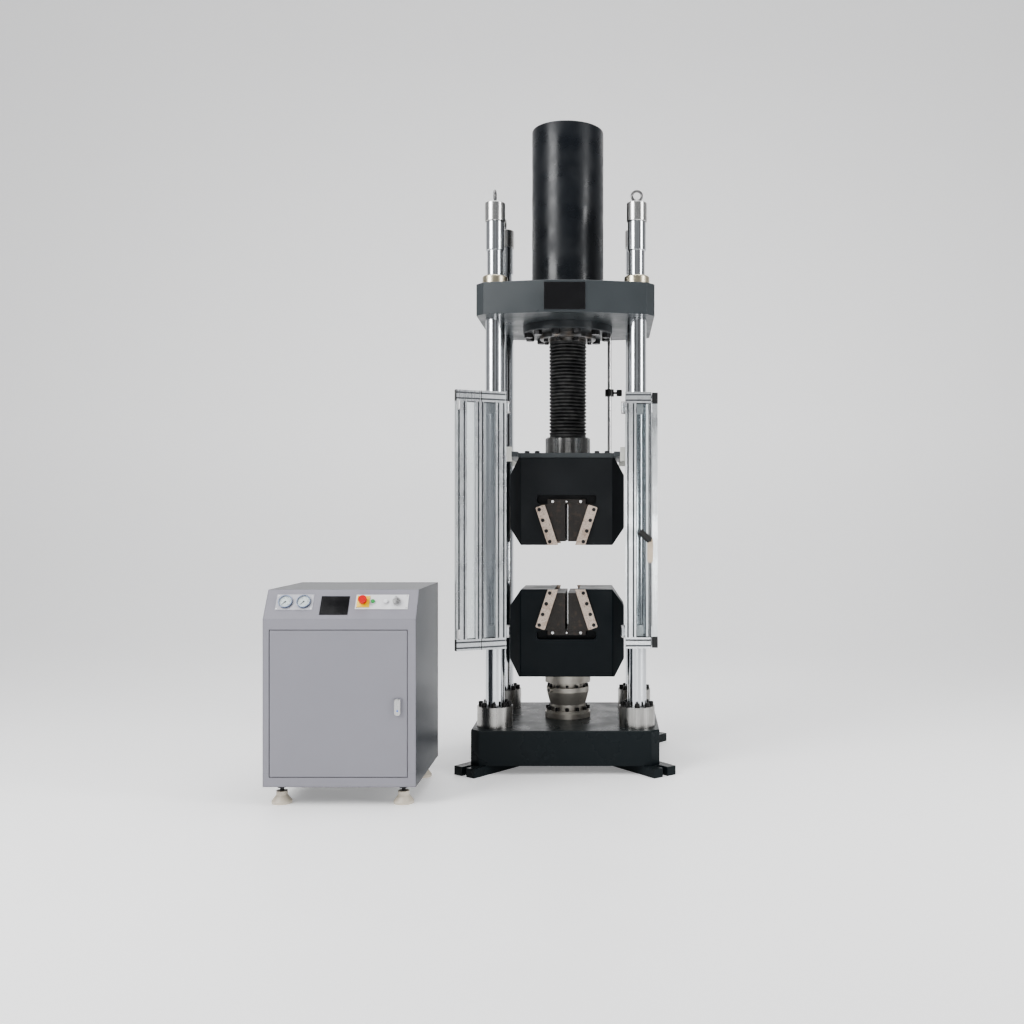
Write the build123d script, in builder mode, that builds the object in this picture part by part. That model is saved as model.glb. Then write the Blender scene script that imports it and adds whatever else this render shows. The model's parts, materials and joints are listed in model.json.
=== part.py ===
"""Hydraulic tensile testing machine: a four-column load frame and its oil source cabinet.

The origin is on the floor, on the load axis. X runs to the right, Y to the back and Z up.
"""
import os
from math import cos, radians, sin, tan

from build123d import *

# Base and feet
foot_thickness = 40.0
foot_width = 125.0
foot_length = 300.0
foot_overhang = 36.0
foot_slot_width = 28.0
foot_slot_depth = 40.0
foot_angle = 52.0
base_side_margin = 200.0
base_end_margin = 258.0
base_thickness = 158.0
base_corner = 38.0
base_edge = 4.0

# Columns and what sits on them
column_diameter = 87.0
column_span_x = 655.0
column_span_y = 482.0
column_seat_depth = 90.0
column_above_crosshead = 386.0
column_neck_diameter = 74.0
column_land_diameter = 85.0
column_land_height = 129.0
column_edge = 3.0
cap_nut_diameter = 94.0
cap_nut_height = 88.0
cap_nut_edge = 2.5
cap_nut_gap = 2.0
collar_diameter = 164.0
collar_height = 93.0
collar_screw_count = 8
collar_screw_circle = 130.0
collar_screw_head = 22.0
collar_screw_height = 19.0
lock_ring_diameter = 116.0
lock_ring_height = 47.0
lock_ring_chamfer = 5.0
eye_ring_diameter = 58.0
eye_ring_thickness = 12.0
eye_foot_diameter = 34.0
eye_foot_height = 9.0
eye_ring_sink = 4.0

# Crosshead
crosshead_bottom = 2078.0
crosshead_thickness = 145.0
crosshead_side_margin = 158.0
crosshead_end_margin = 196.0
crosshead_bow = 60.0
crosshead_corner = 38.0
blank_plate_width = 184.0
blank_plate_height = 121.0
blank_plate_thickness = 4.0

# Cylinder, piston and rod
barrel_diameter = 345.0
barrel_bore = 260.0
barrel_height = 943.0
barrel_edge = 6.0
cap_thickness = 40.0
cap_boss_diameter = 90.0
flange_diameter = 430.0
flange_thickness = 38.0
flange_bore = 200.0
flange_bolt_count = 12
flange_bolt_circle = 385.0
flange_bolt_start = 15.0
flange_bolt_width = 36.0
flange_bolt_height = 20.0
gland_diameter = 270.0
gland_drop = 26.0
gland_neck_diameter = 176.0
gland_neck_drop = 37.0
gland_bolt_count = 8
gland_bolt_circle = 226.0
gland_bolt_start = 22.5
gland_bolt_width = 19.0
gland_bolt_height = 12.0
rod_diameter = 140.0
piston_thickness = 120.0
piston_rest_gap = 320.0
rod_flange_diameter = 218.0
rod_flange_height = 104.0
rod_flange_edge = 6.0

# Bellows
bellows_outer = 182.0
bellows_valley = 164.0
bellows_inner = 150.0
bellows_folds = 18
bellows_gap = 0.3

# Grip heads
head_gap = 209.0
head_height = 410.0
head_width = 540.0
head_depth = 320.0
head_bevel = 53.0
mouth_corner_width = 55.0
mouth_corner_height = 80.0
far_corner_width = 45.0
far_corner_height = 80.0
head_edge = 3.0
lower_head_top = 820.0

# Jaw pocket, rails, jaws and their carrier
wedge_angle = 18.2
pocket_mouth_half = 58.0
pocket_height = 193.0
recess_height = 42.0
recess_half = 140.0
recess_radius = 14.0
recess_depth = 50.0
rail_width = 46.0
rail_length = 200.0
rail_thickness = 14.0
rail_overlap = 18.0
rail_screw_count = 4
rail_screw_pitch = 52.6
rail_screw_start = 16.0
rail_screw_head = 17.0
rail_screw_height = 3.0
rail_corner = 6.0
jaw_gap = 12.0
jaw_mouth_clearance = 17.0
jaw_setback = 2.0
jaw_tooth_pitch = 4.0
jaw_tooth_depth = 1.2
carrier_half = 92.0
carrier_height = 22.0
carrier_room = 1.0
carrier_stem_diameter = 36.0
carrier_stem_height = 90.0
carrier_stem_room = 6.0

# Guide plate and pads
guide_plate_thickness = 23.0
guide_hub_gap = 102.5
guide_hub_depth = 300.0
guide_bar_width = 50.0
guide_hub_lap = 3.0
guide_bolt_width = 20.0
guide_bolt_height = 12.0
guide_bolt_offsets = (142.0, 190.0)
guide_bolt_row = 100.0
guide_pad_lap = 77.5
guide_pad_reach = 50.0
guide_pad_width = 40.0
guide_pad_height = 66.0

# Load cell
cell_ring_diameter = 218.0
cell_ring_height = 37.0
cell_ring_step = 12.0
cell_diameter = 204.0
cell_waist_diameter = 172.0
cell_waist_height = 27.0
cell_flare_height = 60.0
cell_rim_height = 22.0
cell_neck_diameter = 160.0
cell_adaptor_diameter = 218.0
cell_adaptor_height = 44.0
cell_rim_screw_circle = 184.0
cell_rim_screw_head = 14.0
cell_rim_screw_height = 12.0
cell_screw_count = 12
cell_screw_circle = 194.0
cell_screw_head = 18.0
cell_screw_height = 15.0
cell_connector_diameter = 24.0
cell_connector_reach = 14.0
cell_connector_turn = 50.0

# Limit rod and collar
limit_rod_diameter = 20.0
limit_rod_x = 202.0
limit_rod_y = 130.0
limit_rod_foot = 32.0
limit_rod_foot_height = 12.0
limit_rod_guide_clearance = 1.0
limit_rod_reach = 60.0
limit_collar_diameter = 44.0
limit_collar_height = 34.0
limit_collar_level = 1776.0
limit_knob_diameter = 30.0
limit_knob_length = 26.0
limit_knob_stem = 10.0
limit_knob_stem_length = 14.0
limit_knob_lobes = 6

# Guards
guard_bottom = 565.0
guard_height = 1162.0
profile_wide = 50.0
profile_thin = 25.0
profile_slot = 8.0
profile_slot_depth = 6.0
guard_hinge_inset = 65.5
guard_hinge_front = 85.5
hinge_knuckle_radius = 8.0
hinge_knuckle_height = 36.0
hinge_levels = (1659.0, 640.0)
hinge_pin_radius = 4.0
hinge_reach = 10.0
hinge_tab_thickness = 8.0
fold_knuckle_radius = 5.0
fold_knuckle_height = 24.0
fold_pin_radius = 2.5
fold_tab_length = 14.0
fold_tab_thickness = 2.5
inner_leaf_length = 118.0
inner_edge_width = 10.0
outer_leaf_length = 116.0
leaf_gap = 0.5
left_guard_swing = 25.0
right_guard_fold = 90.0
window_thickness = 5.0
window_seat = 0.3
bracket_lug = 8.0
bracket_block_width = 70.0
bracket_block_start = 23.0
bracket_block_depth = 50.0
bracket_back_gap = 2.0
handle_grip_diameter = 30.0
handle_grip_length = 62.0
handle_grip_offset = 99.0
handle_grip_front = 35.5
handle_level = 1075.0
handle_plate_width = 26.0
handle_plate_height = 110.0
handle_plate_drop = 10.0
handle_plate_thickness = 4.0
handle_tilt = 42.0
handle_stem_diameter = 12.0

# Oil source cabinet
cabinet_left = -1192.0
cabinet_width = 615.0
cabinet_front = -889.0
cabinet_depth = 560.0
cabinet_bottom = 78.0
cabinet_height = 787.0
cabinet_front_height = 673.0
cabinet_slope_run = 73.0
cabinet_wall = 2.5
door_left_margin = 28.0
door_right_margin = 36.0
door_bottom_margin = 41.0
door_height = 587.0
door_gap = 2.5
door_sheet = 2.0
door_back_gap = 1.2
panel_seam = 0.2
door_pin_inset = 4.5
door_thickness = 18.0
door_lap = 16.0
door_pin_radius = 2.5
door_handle_width = 24.0
door_handle_height = 68.0
door_handle_thickness = 9.0
door_handle_inset = 37.0
door_handle_level = 399.0
lever_pin_radius = 2.5
lever_ear_width = 4.0
handle_rim = 4.0
cabinet_foot_diameter = 82.0
cabinet_foot_neck = 46.0
cabinet_foot_stem = 16.0
cabinet_foot_nut = 36.0
foot_rim_height = 10.0
foot_dome_height = 34.0
foot_neck_top = 50.0
foot_nut_height = 14.0
cabinet_foot_inset = 60.0

# Inside the cabinet
tank_width = 440.0
tank_depth = 320.0
tank_height = 250.0
tank_lid = 8.0
tank_lid_lap = 12.0
tank_set_back = 40.0
motor_diameter = 176.0
motor_length = 190.0
motor_fin_count = 16
motor_fin_depth = 8.0
motor_fin_width = 4.0
pump_diameter = 120.0
pump_length = 70.0
motor_foot_height = 22.0
motor_foot_length = 130.0
motor_foot_width = 140.0
manifold_width = 130.0
manifold_depth = 90.0
manifold_height = 76.0
valve_diameter = 34.0
valve_height = 62.0
valve_spacing = 52.0
port_diameter = 30.0
port_bore = 18.0
port_length = 26.0
port_flange = 46.0
port_flange_thickness = 6.0
port_spacing = 90.0
port_level = 300.0
barrel_port_insets = (90.0, 120.0)

# Gauges and controls on the sloping panel
panel_plate_thickness = 2.0
gauge_plate_width = 150.0
gauge_plate_height = 70.0
gauge_plate_rise = 9.0
gauge_diameter = 57.0
gauge_can_diameter = 50.0
gauge_depth = 26.0
gauge_rim = 3.5
gauge_rim_height = 9.0
gauge_dial_height = 3.0
gauge_spacing = 74.0
gauge_plate_offset = -190.0
pointer_length = 19.0
pointer_width = 2.4
pointer_thickness = 1.2
pointer_hub = 3.5
pointer_zero_angle = -135.0
panel_blank_width = 114.0
panel_blank_height = 84.0
panel_blank_offset = -27.0
panel_blank_rise = -6.0
switch_plate_width = 213.0
switch_plate_height = 66.0
switch_plate_offset = 163.0
switch_plate_rise = 10.0
estop_offset = -75.0
estop_square = 50.0
estop_diameter = 34.0
estop_stem = 22.0
estop_inside = 24.0
estop_head_height = 14.0
estop_neck = 9.0
button_offsets = (-36.0, 16.0)
button_inside = 10.0
button_diameter = 16.0
button_rim = 22.0
button_rim_height = 4.0
button_height = 9.0
key_offset = 60.0
key_stem = 12.0
key_diameter = 32.0
key_height = 10.0
key_lever_width = 8.0
key_lever_length = 26.0
key_lever_height = 16.0
control_clearance = 0.3

# Clearances
fit_clearance = 0.1
running_clearance = 0.05
seat_gap = 0.3

# Levels and places that follow from the sizes above
base_width = column_span_x + base_side_margin
base_depth = column_span_y + base_end_margin
crosshead_width = column_span_x + crosshead_side_margin
crosshead_side_depth = column_span_y + crosshead_end_margin
guide_hub_half = column_span_x / 2 - guide_hub_gap
guide_pad_inner = column_span_x / 2 - guide_pad_lap
guard_hinge_x = column_span_x / 2 - guard_hinge_inset
guard_hinge_y = -column_span_y / 2 - guard_hinge_front
handle_grip_x = guard_hinge_x + handle_grip_offset
handle_grip_y = guard_hinge_y - handle_grip_front
base_top = foot_thickness + base_thickness
crosshead_top = crosshead_bottom + crosshead_thickness
column_top = crosshead_top + column_above_crosshead
column_seat = base_top - column_seat_depth
column_radius = column_diameter / 2
lock_ring_top = crosshead_top + lock_ring_height
land_top = column_top - cap_nut_height - cap_nut_gap
land_bottom = land_top - column_land_height
flange_bottom = crosshead_bottom - flange_thickness
gland_bottom = flange_bottom - gland_drop
bellows_top = flange_bottom - gland_neck_drop - bellows_gap
upper_head_bottom = lower_head_top + head_gap
upper_head_top = upper_head_bottom + head_height
lower_head_bottom = lower_head_top - head_height
rod_flange_top = upper_head_top + rod_flange_height
barrel_top = crosshead_bottom + barrel_height
cell_body_bottom = base_top + cell_ring_height
cell_body_top = cell_body_bottom + cell_waist_height + cell_flare_height + cell_rim_height
wedge_slope = tan(radians(wedge_angle))
jaw_side_gap = seat_gap / cos(radians(wedge_angle))

os.makedirs("parts", exist_ok=True)
written = []


def save(part, name):
    """Label one finished piece and write it to its own file."""
    part.label = name
    export_step(part, f"parts/{name}.step")
    written.append(name)


# Base plate with a pocket for each column
with BuildPart() as base_plate:
    with BuildSketch(Plane.XY.offset(foot_thickness)):
        Rectangle(base_width, base_depth)
    extrude(amount=base_thickness)
    chamfer(base_plate.edges().filter_by(Axis.Z), base_corner)
    chamfer(base_plate.faces().sort_by(Axis.Z)[-1].edges(), base_edge)
    with BuildSketch(Plane.XY.offset(column_seat)):
        with GridLocations(column_span_x, column_span_y, 2, 2):
            Circle(column_radius + fit_clearance)
    extrude(amount=column_seat_depth, mode=Mode.SUBTRACT)
save(base_plate.part, "base_plate")

# Slotted foot plates, one under each corner, their open slots pointing outwards
with BuildPart() as foot_plates:
    for side in (-1, 1):
        for end in (-1, 1):
            outward = Vector(side * cos(radians(foot_angle)), end * sin(radians(foot_angle)), 0)
            corner = Vector(side * base_width / 2, end * base_depth / 2, 0)
            centre = corner + outward * (foot_overhang - foot_length / 2)
            slot_bottom = foot_length / 2 - foot_slot_depth
            with BuildSketch(Plane(origin=centre, x_dir=outward, z_dir=(0, 0, 1))):
                Rectangle(foot_length, foot_width)
                with Locations((slot_bottom + foot_slot_depth / 2, 0)):
                    Rectangle(foot_slot_depth, foot_slot_width, mode=Mode.SUBTRACT)
                with Locations((slot_bottom, 0)):
                    Circle(foot_slot_width / 2, mode=Mode.SUBTRACT)
            extrude(amount=foot_thickness)
save(foot_plates.part, "foot_plates")

# Columns: above the crosshead each is turned down to a neck, with a wider land under its cap nut
with BuildPart() as columns:
    with BuildSketch(Plane.XZ) as column_half:
        with BuildLine():
            Polyline(
                (0, column_seat),
                (column_radius, column_seat),
                (column_radius, lock_ring_top - column_edge),
                (column_radius - column_edge, lock_ring_top),
                (column_neck_diameter / 2, lock_ring_top),
                (column_neck_diameter / 2, land_bottom - column_edge),
                (column_land_diameter / 2 - column_edge, land_bottom - column_edge),
                (column_land_diameter / 2, land_bottom),
                (column_land_diameter / 2, land_top),
                (column_neck_diameter / 2, land_top),
                (column_neck_diameter / 2, column_top),
                (0, column_top),
                close=True,
            )
        make_face()
    column_shape = revolve(axis=Axis.Z, mode=Mode.PRIVATE)
    with GridLocations(column_span_x, column_span_y, 2, 2):
        add(column_shape)
save(columns.part, "columns")

# Collars that clamp the columns to the base
with BuildPart() as column_collars:
    with BuildSketch(Plane.XY.offset(base_top)):
        with GridLocations(column_span_x, column_span_y, 2, 2):
            Circle(collar_diameter / 2)
            Circle(column_radius + fit_clearance, mode=Mode.SUBTRACT)
    extrude(amount=collar_height)
save(column_collars.part, "column_collars")

# Lock rings on the crosshead
with BuildPart() as column_lock_rings:
    with BuildSketch(Plane.XY.offset(crosshead_top)):
        with GridLocations(column_span_x, column_span_y, 2, 2):
            Circle(lock_ring_diameter / 2)
            Circle(column_radius + fit_clearance, mode=Mode.SUBTRACT)
    extrude(amount=lock_ring_height)
    ring_tops = column_lock_rings.faces().sort_by(Axis.Z)[-4:]
    chamfer(ring_tops.edges().sort_by(SortBy.RADIUS)[-4:], lock_ring_chamfer)
    with BuildSketch(Plane.XY.offset(column_top - cap_nut_height)):
        with GridLocations(column_span_x, column_span_y, 2, 2):
            Circle(cap_nut_diameter / 2)
            Circle(column_neck_diameter / 2 + fit_clearance, mode=Mode.SUBTRACT)
    extrude(amount=cap_nut_height)
    nut_faces = column_lock_rings.faces().filter_by(lambda face: face.center().Z > land_top)
    nut_rims = nut_faces.edges().filter_by(GeomType.CIRCLE)
    chamfer(nut_rims.filter_by(lambda edge: edge.radius > column_radius), cap_nut_edge)
save(column_lock_rings.part, "column_lock_rings")

# Lifting eyes on the column tops: a washer foot, a short neck and a ring
eye_centre = column_top + eye_foot_height + eye_ring_diameter / 2 - eye_ring_sink
with BuildPart() as lifting_eyes:
    with BuildSketch(Plane.XY.offset(column_top)):
        with GridLocations(column_span_x, column_span_y, 2, 2):
            Circle(eye_foot_diameter / 2)
    extrude(amount=eye_foot_height)
    for side in (-1, 1):
        for end in (-1, 1):
            place = Vector(side * column_span_x / 2, end * column_span_y / 2, eye_centre)
            ring_facing = (1, 0, 0) if side < 0 else (0, -1, 0)
            ring_across = (0, 1, 0) if side < 0 else (1, 0, 0)
            ring_plane = Plane(origin=place, x_dir=ring_across, z_dir=ring_facing)
            with Locations(ring_plane.location):
                Torus((eye_ring_diameter - eye_ring_thickness) / 2, eye_ring_thickness / 2)
save(lifting_eyes.part, "lifting_eyes")

# Crosshead: bowed front and back, bored for the columns, the cylinder and the limit rod
crosshead_half = crosshead_side_depth / 2
with BuildPart() as crosshead:
    with BuildSketch(Plane.XY.offset(crosshead_bottom)):
        with BuildLine():
            Polyline(
                (-crosshead_width / 2, -crosshead_half),
                (-blank_plate_width / 2, -crosshead_half - crosshead_bow),
                (blank_plate_width / 2, -crosshead_half - crosshead_bow),
                (crosshead_width / 2, -crosshead_half),
                (crosshead_width / 2, crosshead_half),
                (blank_plate_width / 2, crosshead_half + crosshead_bow),
                (-blank_plate_width / 2, crosshead_half + crosshead_bow),
                (-crosshead_width / 2, crosshead_half),
                close=True,
            )
        make_face()
    extrude(amount=crosshead_thickness)
    upright_edges = crosshead.edges().filter_by(Axis.Z)
    outer_edges = upright_edges.filter_by(lambda edge: abs(edge.center().X) > crosshead_width / 2 - 1)
    chamfer(outer_edges, crosshead_corner)
    fillet(crosshead.faces().sort_by(Axis.Z)[-1].edges(), base_edge)
    with BuildSketch(Plane.XY.offset(crosshead_bottom)):
        with GridLocations(column_span_x, column_span_y, 2, 2):
            Circle(column_radius + fit_clearance)
        Circle(barrel_diameter / 2 + fit_clearance)
        with Locations((limit_rod_x, limit_rod_y)):
            Circle(limit_rod_diameter / 2 + limit_rod_guide_clearance)
    extrude(amount=crosshead_thickness, mode=Mode.SUBTRACT)
save(crosshead.part, "crosshead")

# Cylinder barrel, standing on the flange and passing through the crosshead
with BuildPart() as cylinder_barrel:
    with BuildSketch(Plane.XY.offset(crosshead_bottom)):
        Circle(barrel_diameter / 2)
        Circle(barrel_bore / 2, mode=Mode.SUBTRACT)
    extrude(amount=barrel_height)
    fillet(cylinder_barrel.faces().sort_by(Axis.Z)[-1].edges().sort_by(SortBy.RADIUS)[-1:], barrel_edge)
save(cylinder_barrel.part, "cylinder_barrel")

# End cap, seated in the top of the barrel
with BuildPart() as cylinder_cap:
    with BuildSketch(Plane.XY.offset(barrel_top - barrel_edge - cap_thickness)):
        Circle(barrel_bore / 2 - fit_clearance)
    extrude(amount=cap_thickness)
    with BuildSketch(Plane.XY.offset(barrel_top - barrel_edge)):
        Circle(cap_boss_diameter / 2)
    extrude(amount=barrel_edge)
save(cylinder_cap.part, "cylinder_cap")

# Flange under the crosshead
with BuildPart() as cylinder_flange:
    with BuildSketch(Plane.XY.offset(flange_bottom)):
        Circle(flange_diameter / 2)
        Circle(flange_bore / 2, mode=Mode.SUBTRACT)
    extrude(amount=flange_thickness)
    chamfer(cylinder_flange.faces().sort_by(Axis.Z)[0].edges().sort_by(SortBy.RADIUS)[-1:], base_edge)
save(cylinder_flange.part, "cylinder_flange")

# Hexagon bolt heads of the flange and of the gland
with BuildPart() as flange_bolts:
    with BuildSketch(Plane.XY.offset(flange_bottom - flange_bolt_height)):
        with PolarLocations(flange_bolt_circle / 2, flange_bolt_count, start_angle=flange_bolt_start):
            RegularPolygon(flange_bolt_width / 2, 6, major_radius=False)
    extrude(amount=flange_bolt_height)
    with BuildSketch(Plane.XY.offset(gland_bottom - gland_bolt_height)):
        with PolarLocations(gland_bolt_circle / 2, gland_bolt_count, start_angle=gland_bolt_start):
            RegularPolygon(gland_bolt_width / 2, 6, major_radius=False)
    extrude(amount=gland_bolt_height)
save(flange_bolts.part, "flange_bolts")

# Rod gland: a sleeve in the flange, a bolted ring below it and a neck that holds the bellows
gland_inner = rod_diameter / 2 + running_clearance
with BuildPart() as rod_gland:
    with BuildSketch(Plane.XZ):
        with BuildLine():
            Polyline(
                (gland_inner, flange_bottom - gland_neck_drop),
                (gland_neck_diameter / 2, flange_bottom - gland_neck_drop),
                (gland_neck_diameter / 2, gland_bottom),
                (gland_diameter / 2 - base_edge, gland_bottom),
                (gland_diameter / 2, gland_bottom + base_edge),
                (gland_diameter / 2, flange_bottom),
                (flange_bore / 2 - fit_clearance, flange_bottom),
                (flange_bore / 2 - fit_clearance, crosshead_bottom),
                (gland_inner, crosshead_bottom),
                close=True,
            )
        make_face()
    revolve(axis=Axis.Z)
save(rod_gland.part, "rod_gland")

# Piston and rod in one piece, the rod's lower end in the rod flange
piston_bottom = crosshead_bottom + piston_rest_gap
with BuildPart() as piston_rod:
    with BuildSketch(Plane.XY.offset(upper_head_top)):
        Circle(rod_diameter / 2)
    extrude(amount=piston_bottom - upper_head_top)
    with BuildSketch(Plane.XY.offset(piston_bottom)):
        Circle(barrel_bore / 2 - running_clearance)
    extrude(amount=piston_thickness)
save(piston_rod.part, "piston_rod")

# Rod flange between the rod and the upper head
with BuildPart() as rod_flange:
    with BuildSketch(Plane.XY.offset(upper_head_top)):
        Circle(rod_flange_diameter / 2)
        Circle(rod_diameter / 2 + fit_clearance, mode=Mode.SUBTRACT)
    extrude(amount=rod_flange_height)
    chamfer(rod_flange.faces().sort_by(Axis.Z)[-1].edges().sort_by(SortBy.RADIUS)[-1:], rod_flange_edge)
save(rod_flange.part, "rod_flange")

# Bellows round the rod: one zigzag wall of equal folds
bellows_bottom = rod_flange_top + bellows_gap
fold_pitch = (bellows_top - bellows_bottom) / bellows_folds
fold_points = []
for fold in range(bellows_folds):
    fold_points.append((bellows_valley / 2, bellows_bottom + fold * fold_pitch))
    fold_points.append((bellows_outer / 2, bellows_bottom + (fold + 0.5) * fold_pitch))
with BuildPart() as bellows:
    with BuildSketch(Plane.XZ):
        with BuildLine():
            Polyline(
                (bellows_inner / 2, bellows_bottom),
                *fold_points,
                (bellows_valley / 2, bellows_top),
                (bellows_inner / 2, bellows_top),
                close=True,
            )
        make_face()
    revolve(axis=Axis.Z)
save(bellows.part, "bellows")

# Grip heads. The jaw pocket runs through from front to back and opens at the mouth; the lower head is the
# upper one mirrored about the middle of the test space.
test_space_middle = Plane.XY.offset(lower_head_top + head_gap / 2)
pocket_top = upper_head_bottom + pocket_height
pocket_top_half = pocket_mouth_half + pocket_height * wedge_slope
recess_top = pocket_top + recess_height
slot_top = pocket_top + carrier_height + carrier_room
half_width = head_width / 2
with BuildPart() as upper_head_body:
    with BuildSketch(Plane.XZ):
        with BuildLine():
            Polyline(
                (half_width - mouth_corner_width, upper_head_bottom),
                (half_width, upper_head_bottom + mouth_corner_height),
                (half_width, upper_head_top - far_corner_height),
                (half_width - far_corner_width, upper_head_top),
                (far_corner_width - half_width, upper_head_top),
                (-half_width, upper_head_top - far_corner_height),
                (-half_width, upper_head_bottom + mouth_corner_height),
                (mouth_corner_width - half_width, upper_head_bottom),
                close=True,
            )
        make_face()
    extrude(amount=head_depth / 2, both=True)
    with BuildSketch(Plane.XY.offset(upper_head_bottom)) as head_plan:
        Rectangle(head_width, head_depth)
        chamfer(head_plan.vertices(), head_bevel)
    extrude(amount=head_height, mode=Mode.INTERSECT)
    front_back = upper_head_body.faces().filter_by(Axis.Y).edges()
    chamfer(front_back, head_edge)
    with BuildSketch(Plane.XZ):
        with BuildLine():
            Polyline(
                (-pocket_mouth_half, upper_head_bottom),
                (-pocket_top_half, pocket_top),
                (pocket_top_half, pocket_top),
                (pocket_mouth_half, upper_head_bottom),
                close=True,
            )
        make_face()
    extrude(amount=head_depth / 2, both=True, mode=Mode.SUBTRACT)
    with BuildSketch(Plane.XZ):
        with Locations((0, (pocket_top + slot_top) / 2)):
            Rectangle(2 * (carrier_half + carrier_room), slot_top - pocket_top)
    extrude(amount=head_depth / 2, both=True, mode=Mode.SUBTRACT)
    for face_offset in (head_depth / 2, recess_depth - head_depth / 2):
        with BuildSketch(Plane.XZ.offset(face_offset)):
            with Locations((0, (pocket_top + recess_top) / 2)):
                RectangleRounded(2 * recess_half, recess_height, recess_radius)
        extrude(amount=-recess_depth, mode=Mode.SUBTRACT)
    with BuildSketch(Plane.XY.offset(slot_top)):
        Circle(carrier_stem_diameter / 2 + running_clearance)
    extrude(amount=carrier_stem_height + carrier_stem_room, mode=Mode.SUBTRACT)
save(upper_head_body.part, "upper_head_body")

with BuildPart() as lower_head_body:
    mirror(upper_head_body.part, about=test_space_middle)
save(lower_head_body.part, "lower_head_body")

# Jaw guide rails: inclined strips over the pocket's edges, at the front and the back of each head
rail_lean = radians(wedge_angle)
rail_foot = pocket_mouth_half - rail_overlap
rail_tip_x = rail_foot + rail_length * sin(rail_lean)
rail_tip_z = upper_head_bottom + rail_length * cos(rail_lean)
with BuildPart() as upper_guide_rails:
    for face_offset in (head_depth / 2, -head_depth / 2 - rail_thickness):
        with BuildSketch(Plane.XZ.offset(face_offset)) as rail_outline:
            with BuildLine():
                Polyline(
                    (rail_foot, upper_head_bottom),
                    (rail_foot + rail_width / cos(rail_lean), upper_head_bottom),
                    (rail_tip_x + rail_width * cos(rail_lean), rail_tip_z - rail_width * sin(rail_lean)),
                    (rail_tip_x, rail_tip_z),
                    close=True,
                )
            make_face()
            fillet(rail_outline.vertices().sort_by(Axis.Y)[-2:], rail_corner)
            mirror(about=Plane.YZ)
        extrude(amount=rail_thickness)
save(upper_guide_rails.part, "upper_guide_rails")

with BuildPart() as lower_guide_rails:
    mirror(upper_guide_rails.part, about=test_space_middle)
save(lower_guide_rails.part, "lower_guide_rails")

# Screws of the upper rails, in a line over solid head material, and the bolts of the guide plate
screw_line = pocket_mouth_half + (rail_width / cos(rail_lean) - rail_overlap) / 2
rail_face = head_depth / 2 + rail_thickness
with BuildPart() as upper_head_screws:
    for face_offset in (rail_face, -rail_face - rail_screw_height):
        with BuildSketch(Plane.XZ.offset(face_offset)):
            for number in range(rail_screw_count):
                along = rail_screw_start + number * rail_screw_pitch * cos(rail_lean)
                across = screw_line + along * wedge_slope
                with Locations((across, upper_head_bottom + along), (-across, upper_head_bottom + along)):
                    Circle(rail_screw_head / 2)
        extrude(amount=rail_screw_height)
    with BuildSketch(Plane.XY.offset(upper_head_top + guide_plate_thickness)):
        for bolt_x in guide_bolt_offsets:
            with GridLocations(2 * bolt_x, 2 * guide_bolt_row, 2, 2):
                RegularPolygon(guide_bolt_width / 2, 6, major_radius=False)
    extrude(amount=guide_bolt_height)
save(upper_head_screws.part, "upper_head_screws")

# Socket screws of the fixed frame: column collars, load cell base ring and lower rails
with BuildPart() as socket_screws:
    with BuildSketch(Plane.XY.offset(base_top + collar_height)):
        with GridLocations(column_span_x, column_span_y, 2, 2):
            with PolarLocations(collar_screw_circle / 2, collar_screw_count):
                Circle(collar_screw_head / 2)
    extrude(amount=collar_screw_height)
    with BuildSketch(Plane.XY.offset(cell_body_bottom)):
        with PolarLocations(cell_screw_circle / 2, cell_screw_count):
            Circle(cell_screw_head / 2)
    extrude(amount=cell_screw_height)
    with BuildSketch(Plane.XY.offset(cell_body_top)):
        with PolarLocations(cell_rim_screw_circle / 2, cell_screw_count):
            Circle(cell_rim_screw_head / 2)
    extrude(amount=cell_rim_screw_height)
    for face_offset in (rail_face, -rail_face - rail_screw_height):
        with BuildSketch(Plane.XZ.offset(face_offset)):
            for number in range(rail_screw_count):
                along = rail_screw_start + number * rail_screw_pitch * cos(rail_lean)
                across = screw_line + along * wedge_slope
                with Locations((across, lower_head_top - along), (-across, lower_head_top - along)):
                    Circle(rail_screw_head / 2)
        extrude(amount=rail_screw_height)
save(socket_screws.part, "socket_screws")

# Wedge jaws with toothed gripping faces. Teeth run from front to back.
jaw_bottom = upper_head_bottom + jaw_mouth_clearance
jaw_top = pocket_top - seat_gap
jaw_outer_bottom = pocket_mouth_half + jaw_mouth_clearance * wedge_slope - jaw_side_gap
jaw_outer_top = jaw_outer_bottom + (jaw_top - jaw_bottom) * wedge_slope
tooth_count = int((jaw_top - jaw_bottom) / jaw_tooth_pitch)
jaw_points = [(jaw_gap / 2, jaw_bottom)]
for tooth in range(tooth_count):
    tooth_root = jaw_bottom + (tooth + 1) * jaw_tooth_pitch
    jaw_points.append((jaw_gap / 2, tooth_root - jaw_tooth_pitch / 2))
    jaw_points.append((jaw_gap / 2 + jaw_tooth_depth, tooth_root - jaw_tooth_pitch / 4))
with BuildPart() as upper_jaw_right:
    with BuildSketch(Plane.XZ):
        with BuildLine():
            Polyline(
                *jaw_points,
                (jaw_gap / 2, jaw_top),
                (jaw_outer_top, jaw_top),
                (jaw_outer_bottom, jaw_bottom),
                close=True,
            )
        make_face()
    extrude(amount=head_depth / 2 - jaw_setback, both=True)
save(upper_jaw_right.part, "upper_jaw_right")

with BuildPart() as upper_jaw_left:
    mirror(upper_jaw_right.part, about=Plane.YZ)
save(upper_jaw_left.part, "upper_jaw_left")

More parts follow.
